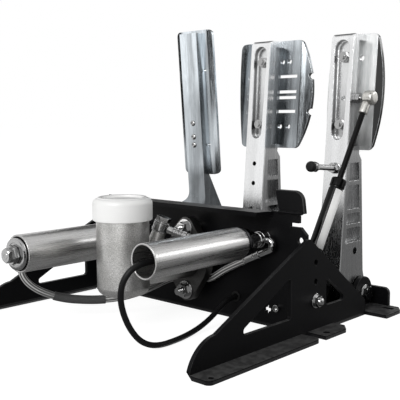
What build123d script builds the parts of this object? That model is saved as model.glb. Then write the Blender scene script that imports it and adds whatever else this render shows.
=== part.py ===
from build123d import *
from math import radians, tan
import os

os.makedirs("parts", exist_ok=True)

# Sim racing pedal set: throttle at +X, clutch at -X, driver at -Y.
# The origin lies on the floor, midway between the two rear foot slots.

# Fits and overruns
seat_gap = 0.3
run_fit = 0.05
press_gap = 0.02
bolt_fit = 0.2
cut_over = 10.0
arc_share = 0.45
bend_share = 0.9
socket_share = 0.7

# Frame
frame_width = 310.0
sheet = 4.0
bend = 6.0
side_inner = frame_width / 2 - sheet
side_outer = frame_width / 2

# Side plates, as seen from the side
side_rear = 27.5
side_front = 300.0
apex_y = 132.5
apex_z = 95.9
apex_round = 7.0
rear_slope_share = 0.758
front_slope_share = 0.48
nose_start = 268.0
nose_bulge_y = 291.0
nose_bulge_z = 20.5
rear_edge_z = apex_z - rear_slope_share * (apex_y - side_rear)
nose_z = apex_z - front_slope_share * (nose_start - apex_y)

# Triangular cut-outs in the side plates
big_y = 162.0
big_low_z = 22.0
big_high_z = 63.2
big_length = 81.0
small_y = 103.0
small_low_z = 24.5
small_high_z = 54.3
small_length = 39.3
cut_round = 3.5

# Row of stud holes in the side plates
stud_y = 121.5
stud_low_z = 32.6
stud_spacing = 19.0
stud_hole_r = 3.25

# Feet bent out from the side plates
flange_out = side_outer + 21.4
flange_start = 143.7
flange_hole_x = side_outer + 16.3
flange_hole_y = 292.4
flange_hole_r = 2.5
foot_round = 5.0
ear_out = side_outer + 21.0
ear_start = 89.0
ear_end = 134.0
ear_cut_x = 8.0
ear_cut_y = 10.0
ear_hole_x = side_outer + 14.0
ear_hole_y = 122.9
ear_hole_r = 3.5

# Cross panel
panel_front = 132.7
panel_back = panel_front - sheet
panel_height = 118.65
panel_lip = 20.0
lip_end = side_outer - 50.0
lip_cut = 6.0
band_end = side_outer - 13.0
band_low_z = 109.0
notch_x = side_outer - 23.5
wing_high_z = 105.0
wing_low_z = 98.0
wing_hole_x = side_outer - 11.0
wing_hole_z = 92.0
wing_hole_r = 3.5
grommet_x = -side_outer + 92.5
grommet_z = 24.2
grommet_r = 4.3
panel_bolt_x = side_outer - 38.0
panel_bolt_z = 21.0
keyhole_x = side_outer - 51.0
keyhole_z = 17.3
keyhole_long = 9.0
keyhole_wide = 3.6

# Stop tab for the clutch, welded to the panel's top
tab_low_x = -side_outer + 36.5
tab_top_x = -side_outer + 42.0
tab_far_x = -side_outer + 6.0
tab_shoulder_x = -side_outer + 9.0
tab_height = 22.0
tab_round = 11.0
tab_near_round = 2.2
tab_sheet = 5.0

# Rear member: foot plate, upright and six pivot lugs
pivot_y = 5.0
pivot_z = 18.5
rear_back = -12.0
upright_sheet = 4.0
upright_top = 24.0
upright_half = side_outer + 8.0
upright_round = 6.0
foot_sheet = 4.0
foot_half = side_outer + 26.0
foot_front = side_rear
deck_front = 60.0
foot_cut_x = 7.5
foot_cut_y = 10.5
slot_x = side_outer + 12.2
slot_length = 14.0
slot_r = 3.25
lug_sheet = 5.0
lug_r = 17.5
lug_length = 24.0
lug_back_share = 0.9
lug_rise_share = 0.1

# Pedal pivots
pin_r = 4.0
head_flats = 13.0
head_high = 5.3
nut_high = 6.5
lock_nut_high = 5.5
washer_r = 8.5
washer_thick = 1.6
bush_wall = 2.0
bush_flange = 0.7
side_play = 0.35

# Pedal arms, as seen from the side
arm_width = 27.5
clutch_x = -side_outer + 34.25
brake_x = -10.0
throttle_x = side_outer - 71.75
boss_r = 12.5
heel_front_share = 0.75
heel_drop_share = 0.66
heel_back_share = 0.97
heel_rise_share = 0.24
lean_share = 0.0863
front_ref_y = 44.7
front_ref_z = 74.6
front_low_z = 46.0
arm_top_z = 300.0
back_low_y = -0.9
back_low_z = 41.5
back_high_y = 6.0
back_high_z = 165.0
seat_low_z = 172.0
pad_depth = 25.0
arm_corner = 7.0
web = 11.0
pocket_front = 8.0
pocket_back = 5.0
pocket_spans = ((143.0, 162.5), (112.5, 138.5), (96.5, 108.0), (76.0, 92.0))
cross_hole_y = 16.6
cross_hole_z = 65.8
cross_hole_r = 4.0

# Recess in the front of the arms
recess_top_z = 284.5
recess_low_z = 194.5
recess_top_r = 9.5
recess_low_r = 7.5
recess_depth = 8.0
upper_wall = 11.0
upper_low_z = 180.0
upper_high_z = 293.0
pad_bolt_zs = (276.0, 204.0)
small_screw_r = 3.0
small_flats = 10.0
small_head = 4.0
small_nut = 5.0
small_washer_r = 6.0
small_washer = 1.2
csk_r = 5.8
csk_high = 2.8
clutch_hole_z = 232.5
brake_hole_zs = (157.7, 134.8)
front_hole_r = 2.6
front_hole_depth = 14.0

# Arched recess and bolt low in the brake arm
arch_r = 8.0
arch_z = 99.3
arch_foot_z = 86.0
arch_depth = 3.0
front_bolt_z = 100.4
front_bolt_long = 12.0

# Pads
pad_sheet = 4.5
pad_low_z = 178.0
pad_high_z = 303.0
pad_round = 7.0
pad_wing_rise = 5.0
brake_pad_near = 40.0
brake_pad_far = 41.0
brake_pad_lean = 12.0
brake_pad_bulge = 15.0
brake_pad_far_bulge = 4.0
brake_slot_zs = (261.5, 243.6, 236.9, 220.7)
brake_slot_high = 3.6
brake_slot_start = 9.0
brake_slot_end = 36.0
brake_notch_r = 3.5
pad_hole_r = 3.0
brake_hole_spots = ((14.0, 278.5), (24.0, 278.5), (15.0, 203.0), (27.0, 203.0))
clutch_pad_half = 27.5
clutch_pad_bulge = 7.0
clutch_hole_spots = ((9.5, 277.0), (-9.5, 277.0))

# Throttle: broad heel, slim neck, long plate
heel_out = 25.5
heel_z = 104.0
neck_round = 16.0
throttle_lean_share = 0.0787
throttle_ref_y = 39.0
throttle_ref_z = 140.0
throttle_top_z = 314.0
throttle_depth = 10.0
throttle_bend_z = 112.0
plate_low_z = 141.0
plate_high_z = 318.0
plate_near = 27.5
plate_far = 31.0
plate_fold_near = 22.5
plate_crease = 16.0
plate_fold_rise = 1.2
plate_rim_rise = 4.0
plate_far_rise = 3.5
plate_sheet = 3.5
plate_round = 6.0
plate_screw_zs = (178.5, 188.5, 205.5)
plate_hole_z = 270.0
plate_hole_x = 16.2
plate_hole_r = 1.8

# Clutch stop screw
stop_z = 157.0
stop_r = 3.0
stop_length = 41.0
bumper_r = 5.6
bumper_long = 9.0
stop_flats = 10.0

# Gas spring
ball_r = 5.0
upper_ball_out = 27.25
upper_ball_y = 18.2
upper_ball_z = 231.6
lower_ball_in = 21.0
upper_ball = Vector(clutch_x - upper_ball_out, upper_ball_y, upper_ball_z)
lower_ball = Vector(-side_outer + lower_ball_in, stud_y, stud_low_z)
socket_r = 7.7
lower_socket_r = 6.7
socket_wall = 1.2
socket_drop = 19.0
neck_r = 2.3
stud_r = 3.0
tube_r = 7.5
tube_start = 17.0
tube_end = 130.0
tube_bore_depth = 74.0
gland_r = 7.9
gland_long = 9.0
rod_r = 3.0
rod_inside = 34.0
socket_spare = 2.4
socket_open = 1.4

# Master cylinder
master_x = brake_x
master_z = 60.6
master_y = 243.0
stand_off = 12.0
flange_thick = 10.0
flange_r = 31.0
flange_end_r = 12.0
flange_bolt = 33.5
flange_back = panel_front + stand_off
flange_front = flange_back + flange_thick
body_r = 20.0
body_tip_r = 17.0
reservoir_r = 26.0
reservoir_low_z = 38.0
reservoir_high_z = 112.0
reservoir_round = 9.0
reservoir_neck_r = 24.0
reservoir_neck = 14.0
well_r = 22.0
well_depth = 40.0
bore_r = 9.5
bore_end = 226.0
stud_length = 14.0
spacer_r = 5.5
panel_stud_r = 4.0

# Reservoir cap
cap_r = 29.5
cap_high = 23.0
cap_crown = 4.5
cap_dish_r = 19.5
cap_dish = 2.2

# Brake linkage
link_y = 22.0
link_z = master_z
link_pin_r = 3.0
pushrod_r = 3.5
pushrod_tip_y = 139.0
fork_slot = 12.0
fork_reach = 16.0
piston_length = 70.0
panel_hole_r = 13.0

# Brake outlet
outlet_side = 2.0
outlet_back = 37.0
outlet_low_z = 76.0
outlet_base = Vector(master_x - outlet_side, master_y - outlet_back, outlet_low_z)
outlet_way = Vector(-0.27, -0.22, 0.94)
outlet_rise = 22.0
outlet_base_r = 9.0
outlet_top_r = 7.0
banjo_r = 8.2
banjo_thick = 8.4
banjo_bore = 4.0
banjo_neck_r = 3.9
banjo_washer = 1.0
banjo_flats = 14.0
banjo_head = 5.5

# Sensor branch on the clutch side
sensor_x = -side_outer + 55.0
sensor_z = 90.0
sensor_tube_r = 16.0
sensor_tube_wall = 2.0
sensor_tube_in = 175.8
sensor_tube_out = 298.7
adapter_long = 8.0
adapter_r = 14.8
adapter_plug = 9.0
sensor_hex = 22.0
sensor_hex_long = 10.0
tee_r = 8.0
ring_r = 10.0
elbow_ring_r = 8.5
elbow_out = 9.0
elbow_r = 5.2
elbow_tail = 12.8
elbow_ferrule = 22.0
bulkhead_r = 5.0
bulkhead_nut = 17.0
bulkhead_nut_high = 6.0
transducer_r = 11.0
transducer_long = 46.0
transducer_tail_r = 7.0
transducer_tail = 8.0

# Slave cylinder on the throttle side
slave_x = side_outer - 93.0
slave_z = 79.5
slave_r = 19.0
slave_wall = 2.2
slave_in = 176.0
slave_out = 316.0
slave_plug_long = 12.0
slave_cup_r = 16.0
slave_cup_thick = 4.0
slave_step = 3.5
slave_rod_r = 4.0
slave_rod_end = slave_out + 15.0
slave_rod_inside = 40.0
slave_nut_thick = 5.0
slave_nut_flats = 17.0
slave_cap_flats = 13.0
slave_cap_high = 5.5
slave_body_r = 13.0

# Hoses and cable
hose_r = 3.75
neck_lead = 9.0
ring_lead = 27.0
port_lead = 11.0
ferrule_r = 4.8
ferrule_long = 15.0
shrink_r = 4.6
cable_r = 2.75
lead_plug_r = 7.0
lead_plug_long = 20.0


def keep(piece, name):
    """Label a finished piece and write its file."""
    piece.part.label = name
    export_step(piece.part, f"parts/{name}.step")


def add_round(start, way, length, radius, bore=0, mode=Mode.ADD):
    """Add or cut a round bar or tube along a direction."""
    with BuildSketch(Plane(origin=start, z_dir=way)) as section:
        Circle(radius)
        if bore:
            Circle(bore, mode=Mode.SUBTRACT)
    extrude(section.sketch, amount=length, mode=mode)


def add_hex(start, way, length, flats, bore=0):
    """Add a hexagonal head or nut, with its upper corners eased."""
    with BuildSketch(Plane(origin=start, z_dir=way)) as section:
        RegularPolygon(flats / 2, 6, major_radius=False)
        if bore:
            Circle(bore, mode=Mode.SUBTRACT)
    extrude(section.sketch, amount=length)


def cord_radii(points):
    """Bend radius at each inner point of a route."""
    radii = []
    for before, corner, after in zip(points, points[1:], points[2:]):
        run_in = corner - before
        run_out = after - corner
        turn = radians(run_in.get_angle(run_out))
        shorter = min(run_in.length, run_out.length)
        radii.append(arc_share * shorter / tan(turn / 2))
    return radii


def cord(name, points, radius):
    """Sweep a round cord along straight runs and arcs."""
    radii = cord_radii(points)
    with BuildPart() as solid:
        with BuildLine() as route:
            FilletPolyline(*points, radius=radii)
        with BuildSketch(Plane(origin=points[0], z_dir=points[1] - points[0])) as section:
            Circle(radius)
        sweep(section.sketch, path=route.wire())
    length = route.wire().length
    share = solid.part.volume / (section.sketch.area * length)
    smallest = min(radii)
    print(f"{name}: length {length:.1f} mm, smallest radius {smallest:.1f} mm, volume share {share:.4f}")
    print(f"{name} radii:", [round(radius_here, 1) for radius_here in radii])
    return solid


def front_y(height):
    """Front face of the clutch and brake arms at a height."""
    return front_ref_y + lean_share * (front_ref_z - height)


def throttle_y(height):
    """Front face of the throttle's upper arm at a height."""
    return throttle_ref_y + throttle_lean_share * (height - throttle_ref_z)


# Side plates
def side_plate(name, hand):
    """One side plate with its cut-outs, stud holes and bent feet."""
    face = side_inner if hand > 0 else -side_outer
    with BuildPart() as plate:
        with BuildSketch(Plane.YZ.offset(face)):
            with BuildLine():
                Polyline(
                    (side_front, bend),
                    (flange_start, bend),
                    (flange_start, 0),
                    (side_rear, 0),
                    (side_rear, rear_edge_z),
                    (apex_y, apex_z),
                    (nose_start, nose_z),
                )
                ThreePointArc((nose_start, nose_z), (nose_bulge_y, nose_bulge_z), (side_front, bend))
            make_face()
            with BuildLine():
                Polyline(
                    (big_y, big_low_z),
                    (big_y + big_length, big_low_z),
                    (big_y, big_high_z),
                    close=True,
                )
            make_face(mode=Mode.SUBTRACT)
            with BuildLine():
                Polyline(
                    (small_y, small_low_z),
                    (small_y, small_high_z),
                    (small_y - small_length, small_low_z),
                    close=True,
                )
            make_face(mode=Mode.SUBTRACT)
            with Locations((stud_y, stud_low_z + stud_spacing)):
                with GridLocations(0, stud_spacing, 1, 3):
                    Circle(stud_hole_r, mode=Mode.SUBTRACT)
        extrude(amount=sheet)
        corners = plate.edges().filter_by(Axis.X)
        cutouts = [
            edge
            for edge in corners
            if edge.geom_type == GeomType.LINE
            and big_low_z - cut_round < edge.center().Z < big_high_z + cut_round
            and edge.center().Y < nose_start
            and edge.center().Y > side_rear + cut_round
        ]
        fillet(cutouts, cut_round)
        fillet(plate.edges().filter_by(Axis.X).sort_by(Axis.Z)[-1], apex_round)
        # Foot flange, bent out of the plate's lower edge
        with BuildSketch(Plane.XZ.offset(-flange_start)):
            with BuildLine():
                Polyline(
                    (hand * side_inner, bend),
                    (hand * side_outer, bend),
                    (hand * side_outer, sheet),
                    (hand * flange_out, sheet),
                    (hand * flange_out, 0),
                    (hand * (side_inner + bend), 0),
                )
                Line((hand * (side_inner + bend), 0), (hand * side_inner, bend))
            make_face()
        extrude(amount=-(side_front - flange_start))
        outer_corners = [
            edge
            for edge in plate.edges().filter_by(Axis.Z)
            if abs(edge.center().X) > flange_out - press_gap and edge.center().Z < sheet
        ]
        fillet(outer_corners, foot_round)
        # Foot ear behind the flange
        with BuildSketch(Plane.XY):
            with BuildLine():
                Polyline(
                    (hand * side_outer, ear_start),
                    (hand * side_outer, ear_end),
                    (hand * ear_out, ear_end),
                    (hand * ear_out, ear_start + ear_cut_y),
                    (hand * (ear_out - ear_cut_x), ear_start),
                    close=True,
                )
            make_face()
        extrude(amount=sheet)
        for hole_x, hole_y, hole_r in (
            (ear_hole_x, ear_hole_y, ear_hole_r),
            (flange_hole_x, flange_hole_y, flange_hole_r),
        ):
            with Locations((hand * hole_x, hole_y, sheet)):
                Hole(hole_r)
    keep(plate, name)


side_plate("side_plate_throttle", 1)
side_plate("side_plate_clutch", -1)


# Cross panel with its lip, end wings and holes
with BuildPart() as panel:
    with BuildSketch(Plane.XZ.offset(-panel_back)):
        with BuildLine():
            for hand in (1, -1):
                Polyline(
                    (0, 0),
                    (hand * side_inner, 0),
                    (hand * side_inner, wing_low_z),
                    (hand * (band_end + sheet / 2), wing_high_z),
                    (hand * notch_x, wing_high_z),
                    (hand * notch_x, band_low_z),
                    (hand * band_end, band_low_z),
                    (hand * band_end, panel_height),
                    (0, panel_height),
                )
        make_face()
        with Locations((grommet_x, grommet_z)):
            Circle(grommet_r, mode=Mode.SUBTRACT)
        with Locations((master_x, master_z)):
            Circle(panel_hole_r, mode=Mode.SUBTRACT)
        with Locations((master_x, master_z + flange_bolt), (master_x, master_z - flange_bolt)):
            Circle(panel_stud_r, mode=Mode.SUBTRACT)
        with Locations((sensor_x, sensor_z), (slave_x, slave_z)):
            Circle(bulkhead_r, mode=Mode.SUBTRACT)
        with Locations((wing_hole_x, wing_hole_z), (-wing_hole_x, wing_hole_z)):
            Circle(wing_hole_r, mode=Mode.SUBTRACT)
        with Locations((panel_bolt_x, panel_bolt_z), (-panel_bolt_x, panel_bolt_z)):
            Circle(small_screw_r, mode=Mode.SUBTRACT)
        with Locations((-keyhole_x, keyhole_z)):
            Rectangle(keyhole_long, keyhole_wide, mode=Mode.SUBTRACT)
            Rectangle(keyhole_wide, keyhole_long, mode=Mode.SUBTRACT)
    extrude(amount=-sheet)
    with BuildSketch(Plane.XY.offset(panel_height - sheet)):
        with BuildLine():
            Polyline(
                (-lip_end - lip_cut, panel_front),
                (lip_end + lip_cut, panel_front),
                (lip_end, panel_front + panel_lip),
                (-lip_end, panel_front + panel_lip),
                close=True,
            )
        make_face()
    extrude(amount=sheet)
    outer_bend = panel.edges().filter_by(Axis.X).group_by(Axis.Z)[-1].sort_by(Axis.Y)[0]
    fillet(outer_bend, sheet * bend_share)
    inner_bend = [
        edge
        for edge in panel.edges().filter_by(Axis.X)
        if edge.center().Y < panel_front + press_gap
        and edge.center().Y > panel_front - press_gap
        and abs(edge.center().Z - panel_height + sheet) < press_gap
    ]
    fillet(inner_bend, sheet / 2)
keep(panel, "cross_panel")

# Stop tab: a rounded upright plate with its weld bead on the panel's top
with BuildPart() as tab:
    with BuildSketch(Plane.XZ.offset(-panel_back)):
        with BuildLine():
            Polyline(
                (tab_low_x, panel_height),
                (tab_top_x, panel_height + tab_height),
                (tab_shoulder_x, panel_height + tab_height),
                (tab_far_x + press_gap, panel_height),
                close=True,
            )
        make_face()
    extrude(amount=-tab_sheet)
    far_corner = tab.edges().filter_by(Axis.Y).group_by(Axis.Z)[-1].sort_by(Axis.X)[0]
    near_corner = tab.edges().filter_by(Axis.Y).group_by(Axis.Z)[-1].sort_by(Axis.X)[-1]
    fillet(far_corner, tab_round)
    fillet(near_corner, tab_near_round)
keep(tab, "stop_tab")

# Rear member with the pivot lugs
lug_gap = side_play + bush_flange
clutch_span = (clutch_x - arm_width / 2, clutch_x + arm_width / 2)
brake_span = (brake_x - arm_width / 2, brake_x + arm_width / 2)
throttle_span = (throttle_x - arm_width / 2, throttle_x + heel_out)
spans = {"clutch": clutch_span, "brake": brake_span, "throttle": throttle_span}

with BuildPart() as rear:
    with BuildSketch(Plane.XY):
        with BuildLine():
            Polyline(
                (-foot_half, foot_front),
                (-foot_half, rear_back + foot_cut_y),
                (-foot_half + foot_cut_x, rear_back),
                (foot_half - foot_cut_x, rear_back),
                (foot_half, rear_back + foot_cut_y),
                (foot_half, foot_front),
                (side_inner, foot_front),
                (side_inner, deck_front),
                (-side_inner, deck_front),
                (-side_inner, foot_front),
                close=True,
            )
        make_face()
        with Locations((slot_x, 0), (-slot_x, 0)):
            SlotOverall(slot_length, 2 * slot_r, mode=Mode.SUBTRACT)
    extrude(amount=foot_sheet)
    with BuildSketch(Plane.XZ.offset(-rear_back)):
        with Locations((0, upright_top / 2)):
            Rectangle(2 * upright_half, upright_top)
    extrude(amount=-upright_sheet)
    upright_corners = rear.edges().filter_by(Axis.Y).group_by(Axis.Z)[-1]
    fillet(upright_corners, upright_round)
    for low_x, high_x in spans.values():
        for lug_x in (low_x - lug_gap - lug_sheet, high_x + lug_gap):
            with BuildSketch(Plane.YZ.offset(lug_x)):
                with BuildLine():
                    crown = (pivot_y - lug_r * lug_back_share, pivot_z + lug_r * lug_rise_share)
                    Line((rear_back + upright_sheet, foot_sheet), (rear_back + upright_sheet, pivot_z))
                    Line((rear_back + upright_sheet, pivot_z), crown)
                    ThreePointArc(
                        crown,
                        (pivot_y, pivot_z + lug_r),
                        (pivot_y + lug_r, pivot_z),
                    )
                    Line((pivot_y + lug_r, pivot_z), (pivot_y + lug_length, foot_sheet))
                    Line((pivot_y + lug_length, foot_sheet), (rear_back + upright_sheet, foot_sheet))
                make_face()
                with Locations((pivot_y, pivot_z)):
                    Circle(pin_r + press_gap, mode=Mode.SUBTRACT)
            extrude(amount=lug_sheet)
keep(rear, "rear_member")


# Pivot bolts with washer, head and nut
def pivot_bolt(pedal):
    """Bolt through a pair of lugs, head at -X, nut at +X."""
    low_x, high_x = spans[pedal]
    start_x = low_x - lug_gap - lug_sheet
    end_x = high_x + lug_gap + lug_sheet
    way = Vector(1, 0, 0)
    grip = end_x - start_x + 2 * washer_thick + nut_high
    with BuildPart() as bolt:
        add_round(Vector(start_x - washer_thick, pivot_y, pivot_z), way, grip, pin_r)
        add_round(Vector(start_x - washer_thick, pivot_y, pivot_z), way, washer_thick, washer_r)
        add_hex(Vector(start_x - washer_thick - head_high, pivot_y, pivot_z), way, head_high, head_flats)
        add_round(Vector(end_x, pivot_y, pivot_z), way, washer_thick, washer_r)
        add_hex(Vector(end_x + washer_thick, pivot_y, pivot_z), way, lock_nut_high, head_flats)
    keep(bolt, f"{pedal}_pivot_bolt")


# Flanged bush pressed into an arm
def pivot_bush(pedal):
    """Flanged bush between the pivot bolt and the arm."""
    low_x, high_x = spans[pedal]
    way = Vector(1, 0, 0)
    bore = pin_r + run_fit
    outer = pin_r + bush_wall
    with BuildPart() as bush:
        add_round(Vector(low_x - bush_flange, pivot_y, pivot_z), way, high_x - low_x + 2 * bush_flange, outer, bore)
        for flange_x in (low_x - bush_flange, high_x):
            add_round(Vector(flange_x, pivot_y, pivot_z), way, bush_flange, washer_r, bore)
    keep(bush, f"{pedal}_bush")


for pedal in spans:
    pivot_bolt(pedal)
    pivot_bush(pedal)


# Clutch and brake arms
def front_plane(centre_x, height):
    """Plane on an arm's front face, normal towards +Y, its Y axis up the arm."""
    up = Vector(0, -lean_share, 1)
    return Plane(
        origin=Vector(centre_x, front_y(height), height),
        x_dir=Vector(-1, 0, 0),
        z_dir=Vector(-1, 0, 0).cross(up),
    )


def pedal_arm(name, centre_x, front_hole_zs):
    """A milled arm: pocketed sides, ribs, and a long recess in front."""
    low_x = centre_x - arm_width / 2
    top_back_y = front_y(arm_top_z) - pad_depth
    pocket_depth = (arm_width - web) / 2
    with BuildPart() as arm:
        with BuildSketch(Plane.YZ.offset(low_x)):
            with BuildLine():
                Polyline(
                    (pivot_y, pivot_z),
                    (pivot_y + boss_r * heel_front_share, pivot_z - boss_r * heel_drop_share),
                    (front_y(front_low_z), front_low_z),
                    (front_y(arm_top_z), arm_top_z),
                    (top_back_y, arm_top_z),
                    (front_y(seat_low_z) - pad_depth, seat_low_z),
                    (back_high_y, back_high_z),
                    (back_low_y, back_low_z),
                    (pivot_y - boss_r * heel_back_share, pivot_z + boss_r * heel_rise_share),
                    close=True,
                )
            make_face()
            with Locations((pivot_y, pivot_z)):
                Circle(boss_r)
                Circle(pin_r + bush_wall + press_gap, mode=Mode.SUBTRACT)
        extrude(amount=arm_width)
        top_front = arm.edges().filter_by(Axis.X).group_by(Axis.Z)[-1].sort_by(Axis.Y)[-1]
        low_front = arm.edges().filter_by(Axis.X).sort_by(Axis.Y)[-1]
        fillet([top_front, low_front], arm_corner)
        # Pockets between the ribs, milled from both sides
        for face_x, way in ((low_x, 1), (low_x + arm_width, -1)):
            with BuildSketch(Plane.YZ.offset(face_x)):
                for low_z, high_z in pocket_spans:
                    back_share = (back_high_y - back_low_y) / (back_high_z - back_low_z)
                    low_back = back_low_y + back_share * (low_z - back_low_z) + pocket_back
                    high_back = back_low_y + back_share * (high_z - back_low_z) + pocket_back
                    with BuildLine():
                        Polyline(
                            (low_back, low_z),
                            (front_y(low_z) - pocket_front, low_z),
                            (front_y(high_z) - pocket_front, high_z),
                            (high_back, high_z),
                            close=True,
                        )
                    make_face()
                with BuildLine():
                    Polyline(
                        (front_y(upper_low_z) - upper_wall, upper_low_z),
                        (front_y(upper_high_z) - upper_wall, upper_high_z),
                        (front_y(upper_high_z) - pad_depth - cut_over, upper_high_z),
                        (front_y(upper_low_z) - pad_depth - cut_over, upper_low_z),
                        close=True,
                    )
                make_face()
            extrude(amount=way * pocket_depth, mode=Mode.SUBTRACT)
        # Cross hole low in the arm
        with BuildSketch(Plane.YZ.offset(low_x)):
            with Locations((cross_hole_y, cross_hole_z)):
                Circle(cross_hole_r)
        extrude(amount=arm_width, mode=Mode.SUBTRACT)
        # Long round-ended recess, narrower at its foot
        with BuildSketch(front_plane(centre_x, recess_low_z)):
            with Locations((0, recess_top_z - recess_low_z)):
                Circle(recess_top_r)
            Circle(recess_low_r)
            make_hull()
        extrude(amount=-recess_depth, mode=Mode.SUBTRACT)
        for bolt_z in pad_bolt_zs:
            with BuildSketch(front_plane(centre_x, bolt_z)):
                Circle(small_screw_r + bolt_fit)
            extrude(amount=-(pad_depth + cut_over), mode=Mode.SUBTRACT)
        for hole_z in front_hole_zs:
            with BuildSketch(front_plane(centre_x, hole_z)):
                Circle(front_hole_r)
            extrude(amount=-front_hole_depth, mode=Mode.SUBTRACT)
        if name == "brake_arm":
            # Arched recess with its bolt hole
            with BuildSketch(front_plane(centre_x, arch_z)):
                Circle(arch_r)
                with Locations((0, (arch_foot_z - arch_z) / 2)):
                    Rectangle(2 * arch_r, arch_z - arch_foot_z)
            extrude(amount=-arch_depth, mode=Mode.SUBTRACT)
            with BuildSketch(front_plane(centre_x, front_bolt_z)):
                Circle(small_screw_r + bolt_fit)
            extrude(amount=-(arch_depth + front_bolt_long + bolt_fit), mode=Mode.SUBTRACT)
            # Fork for the pushrod, cut through from the front
            with BuildSketch(Plane.YZ.offset(centre_x - fork_slot / 2)):
                with Locations((link_y + pad_depth, link_z)):
                    Rectangle(2 * (pad_depth + fork_reach - link_pin_r), 2 * fork_slot)
            extrude(amount=fork_slot, mode=Mode.SUBTRACT)
            add_round(
                Vector(low_x - cut_over, link_y, link_z),
                Vector(1, 0, 0),
                arm_width + 2 * cut_over,
                link_pin_r + press_gap,
                mode=Mode.SUBTRACT,
            )
    keep(arm, name)


pedal_arm("clutch_arm", clutch_x, (clutch_hole_z,))
pedal_arm("brake_arm", brake_x, brake_hole_zs)


# Hex bolt in the brake arm's arched recess
with BuildPart() as front_bolt:
    bolt_face = front_plane(brake_x, front_bolt_z)
    bolt_way = bolt_face.z_dir
    recess_floor = bolt_face.origin - bolt_way * arch_depth
    add_round(recess_floor - bolt_way * front_bolt_long, bolt_way, front_bolt_long, small_screw_r)
    add_round(recess_floor, bolt_way, small_washer, small_washer_r)
    add_hex(recess_floor + bolt_way * small_washer, bolt_way, small_head, small_flats)
keep(front_bolt, "brake_front_bolt")


# Pads
def seat_plane(centre_x, height):
    """Plane on the pads' mounting face, square below a point of the arm's front."""
    face = front_plane(centre_x, height)
    return face.offset(-pad_depth * face.z_dir.Y)


def pedal_pad(name, centre_x, near, far, lean, bulge, far_bulge, hole_spots, slots):
    """A pad bowed at both sides, with side wings; its far side leans out by the lean."""
    low = seat_plane(centre_x, pad_low_z)
    rise = (pad_high_z - pad_low_z) / low.y_dir.Z
    stretch = 1 / low.y_dir.Z
    across = Plane(origin=low.origin, x_dir=low.x_dir, z_dir=low.y_dir)
    with BuildPart() as pad:
        with BuildSketch(across):
            with BuildLine():
                Polyline(
                    (-far - lean - far_bulge, pad_wing_rise),
                    (-far, 0),
                    (near, 0),
                    (near + bulge, pad_wing_rise),
                    (near + bulge, pad_wing_rise + pad_sheet),
                    (near, pad_sheet),
                    (-far, pad_sheet),
                    (-far - lean - far_bulge, pad_wing_rise + pad_sheet),
                    close=True,
                )
            make_face()
        extrude(amount=rise)
        with BuildSketch(low):
            with BuildLine():
                Line((-far, 0), (near, 0))
                ThreePointArc((near, 0), (near + bulge, rise / 2), (near, rise))
                Line((near, rise), (-far - lean, rise))
                ThreePointArc((-far - lean, rise), (-far - lean / 2 - far_bulge, rise / 2), (-far, 0))
            make_face()
            fillet(vertices(), pad_round)
        extrude(amount=pad_depth, both=True, mode=Mode.INTERSECT)
        with BuildSketch(low):
            for offset, height in hole_spots:
                with Locations((offset, (height - pad_low_z) * stretch)):
                    Circle(pad_hole_r)
            for bolt_z in pad_bolt_zs:
                with Locations((0, (bolt_z - pad_low_z) * stretch)):
                    Circle(small_screw_r + bolt_fit)
            for slot_z in slots:
                for hand in (1, -1):
                    with Locations((hand * (brake_slot_start + brake_slot_end) / 2, (slot_z - pad_low_z) * stretch)):
                        Rectangle(brake_slot_end - brake_slot_start, brake_slot_high)
            for slot_z in slots[::3]:
                with Locations((near + bulge - brake_notch_r / 2, (slot_z - pad_low_z) * stretch)):
                    Circle(brake_notch_r)
        extrude(amount=pad_depth, both=True, mode=Mode.SUBTRACT)
        # Countersinks on the driver's face
        for bolt_z in pad_bolt_zs:
            sink = seat_plane(centre_x, bolt_z).offset(-pad_sheet)
            with BuildSketch(sink):
                Circle(csk_r + bolt_fit)
            with BuildSketch(sink.offset(csk_high)):
                Circle(small_screw_r + bolt_fit)
            loft(mode=Mode.SUBTRACT)
    keep(pad, name)


def pad_bolts(name, centre_x):
    """Countersunk bolts from the pad's face to nuts in the arm's recess."""
    with BuildPart() as bolts:
        for bolt_z in pad_bolt_zs:
            face = front_plane(centre_x, bolt_z)
            sink = seat_plane(centre_x, bolt_z).offset(-pad_sheet)
            way = face.z_dir
            depth = pad_depth * way.Y + pad_sheet
            with BuildSketch(sink):
                Circle(csk_r)
            with BuildSketch(sink.offset(csk_high)):
                Circle(small_screw_r)
            loft()
            floor = sink.origin + way * (depth - recess_depth)
            add_round(sink.origin, way, depth - recess_depth + small_washer + small_nut + small_washer, small_screw_r)
            add_round(floor, way, small_washer, small_washer_r)
            add_hex(floor + way * small_washer, way, small_nut, small_flats)
    keep(bolts, name)


pedal_pad(
    "brake_pad",
    brake_x,
    brake_pad_near,
    brake_pad_far,
    brake_pad_lean,
    brake_pad_bulge,
    brake_pad_far_bulge,
    brake_hole_spots,
    brake_slot_zs,
)
pedal_pad(
    "clutch_pad",
    clutch_x,
    clutch_pad_half,
    clutch_pad_half,
    0,
    clutch_pad_bulge,
    clutch_pad_bulge,
    clutch_hole_spots,
    (),
)
pad_bolts("brake_pad_bolts", brake_x)
pad_bolts("clutch_pad_bolts", clutch_x)


def throttle_seat(height):
    """Plane on the back of the throttle's upper arm, normal towards +Y."""
    up = Vector(0, throttle_lean_share, 1)
    return Plane(
        origin=Vector(throttle_x, throttle_y(height) - throttle_depth, height),
        x_dir=Vector(-1, 0, 0),
        z_dir=Vector(-1, 0, 0).cross(up),
    )


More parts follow.
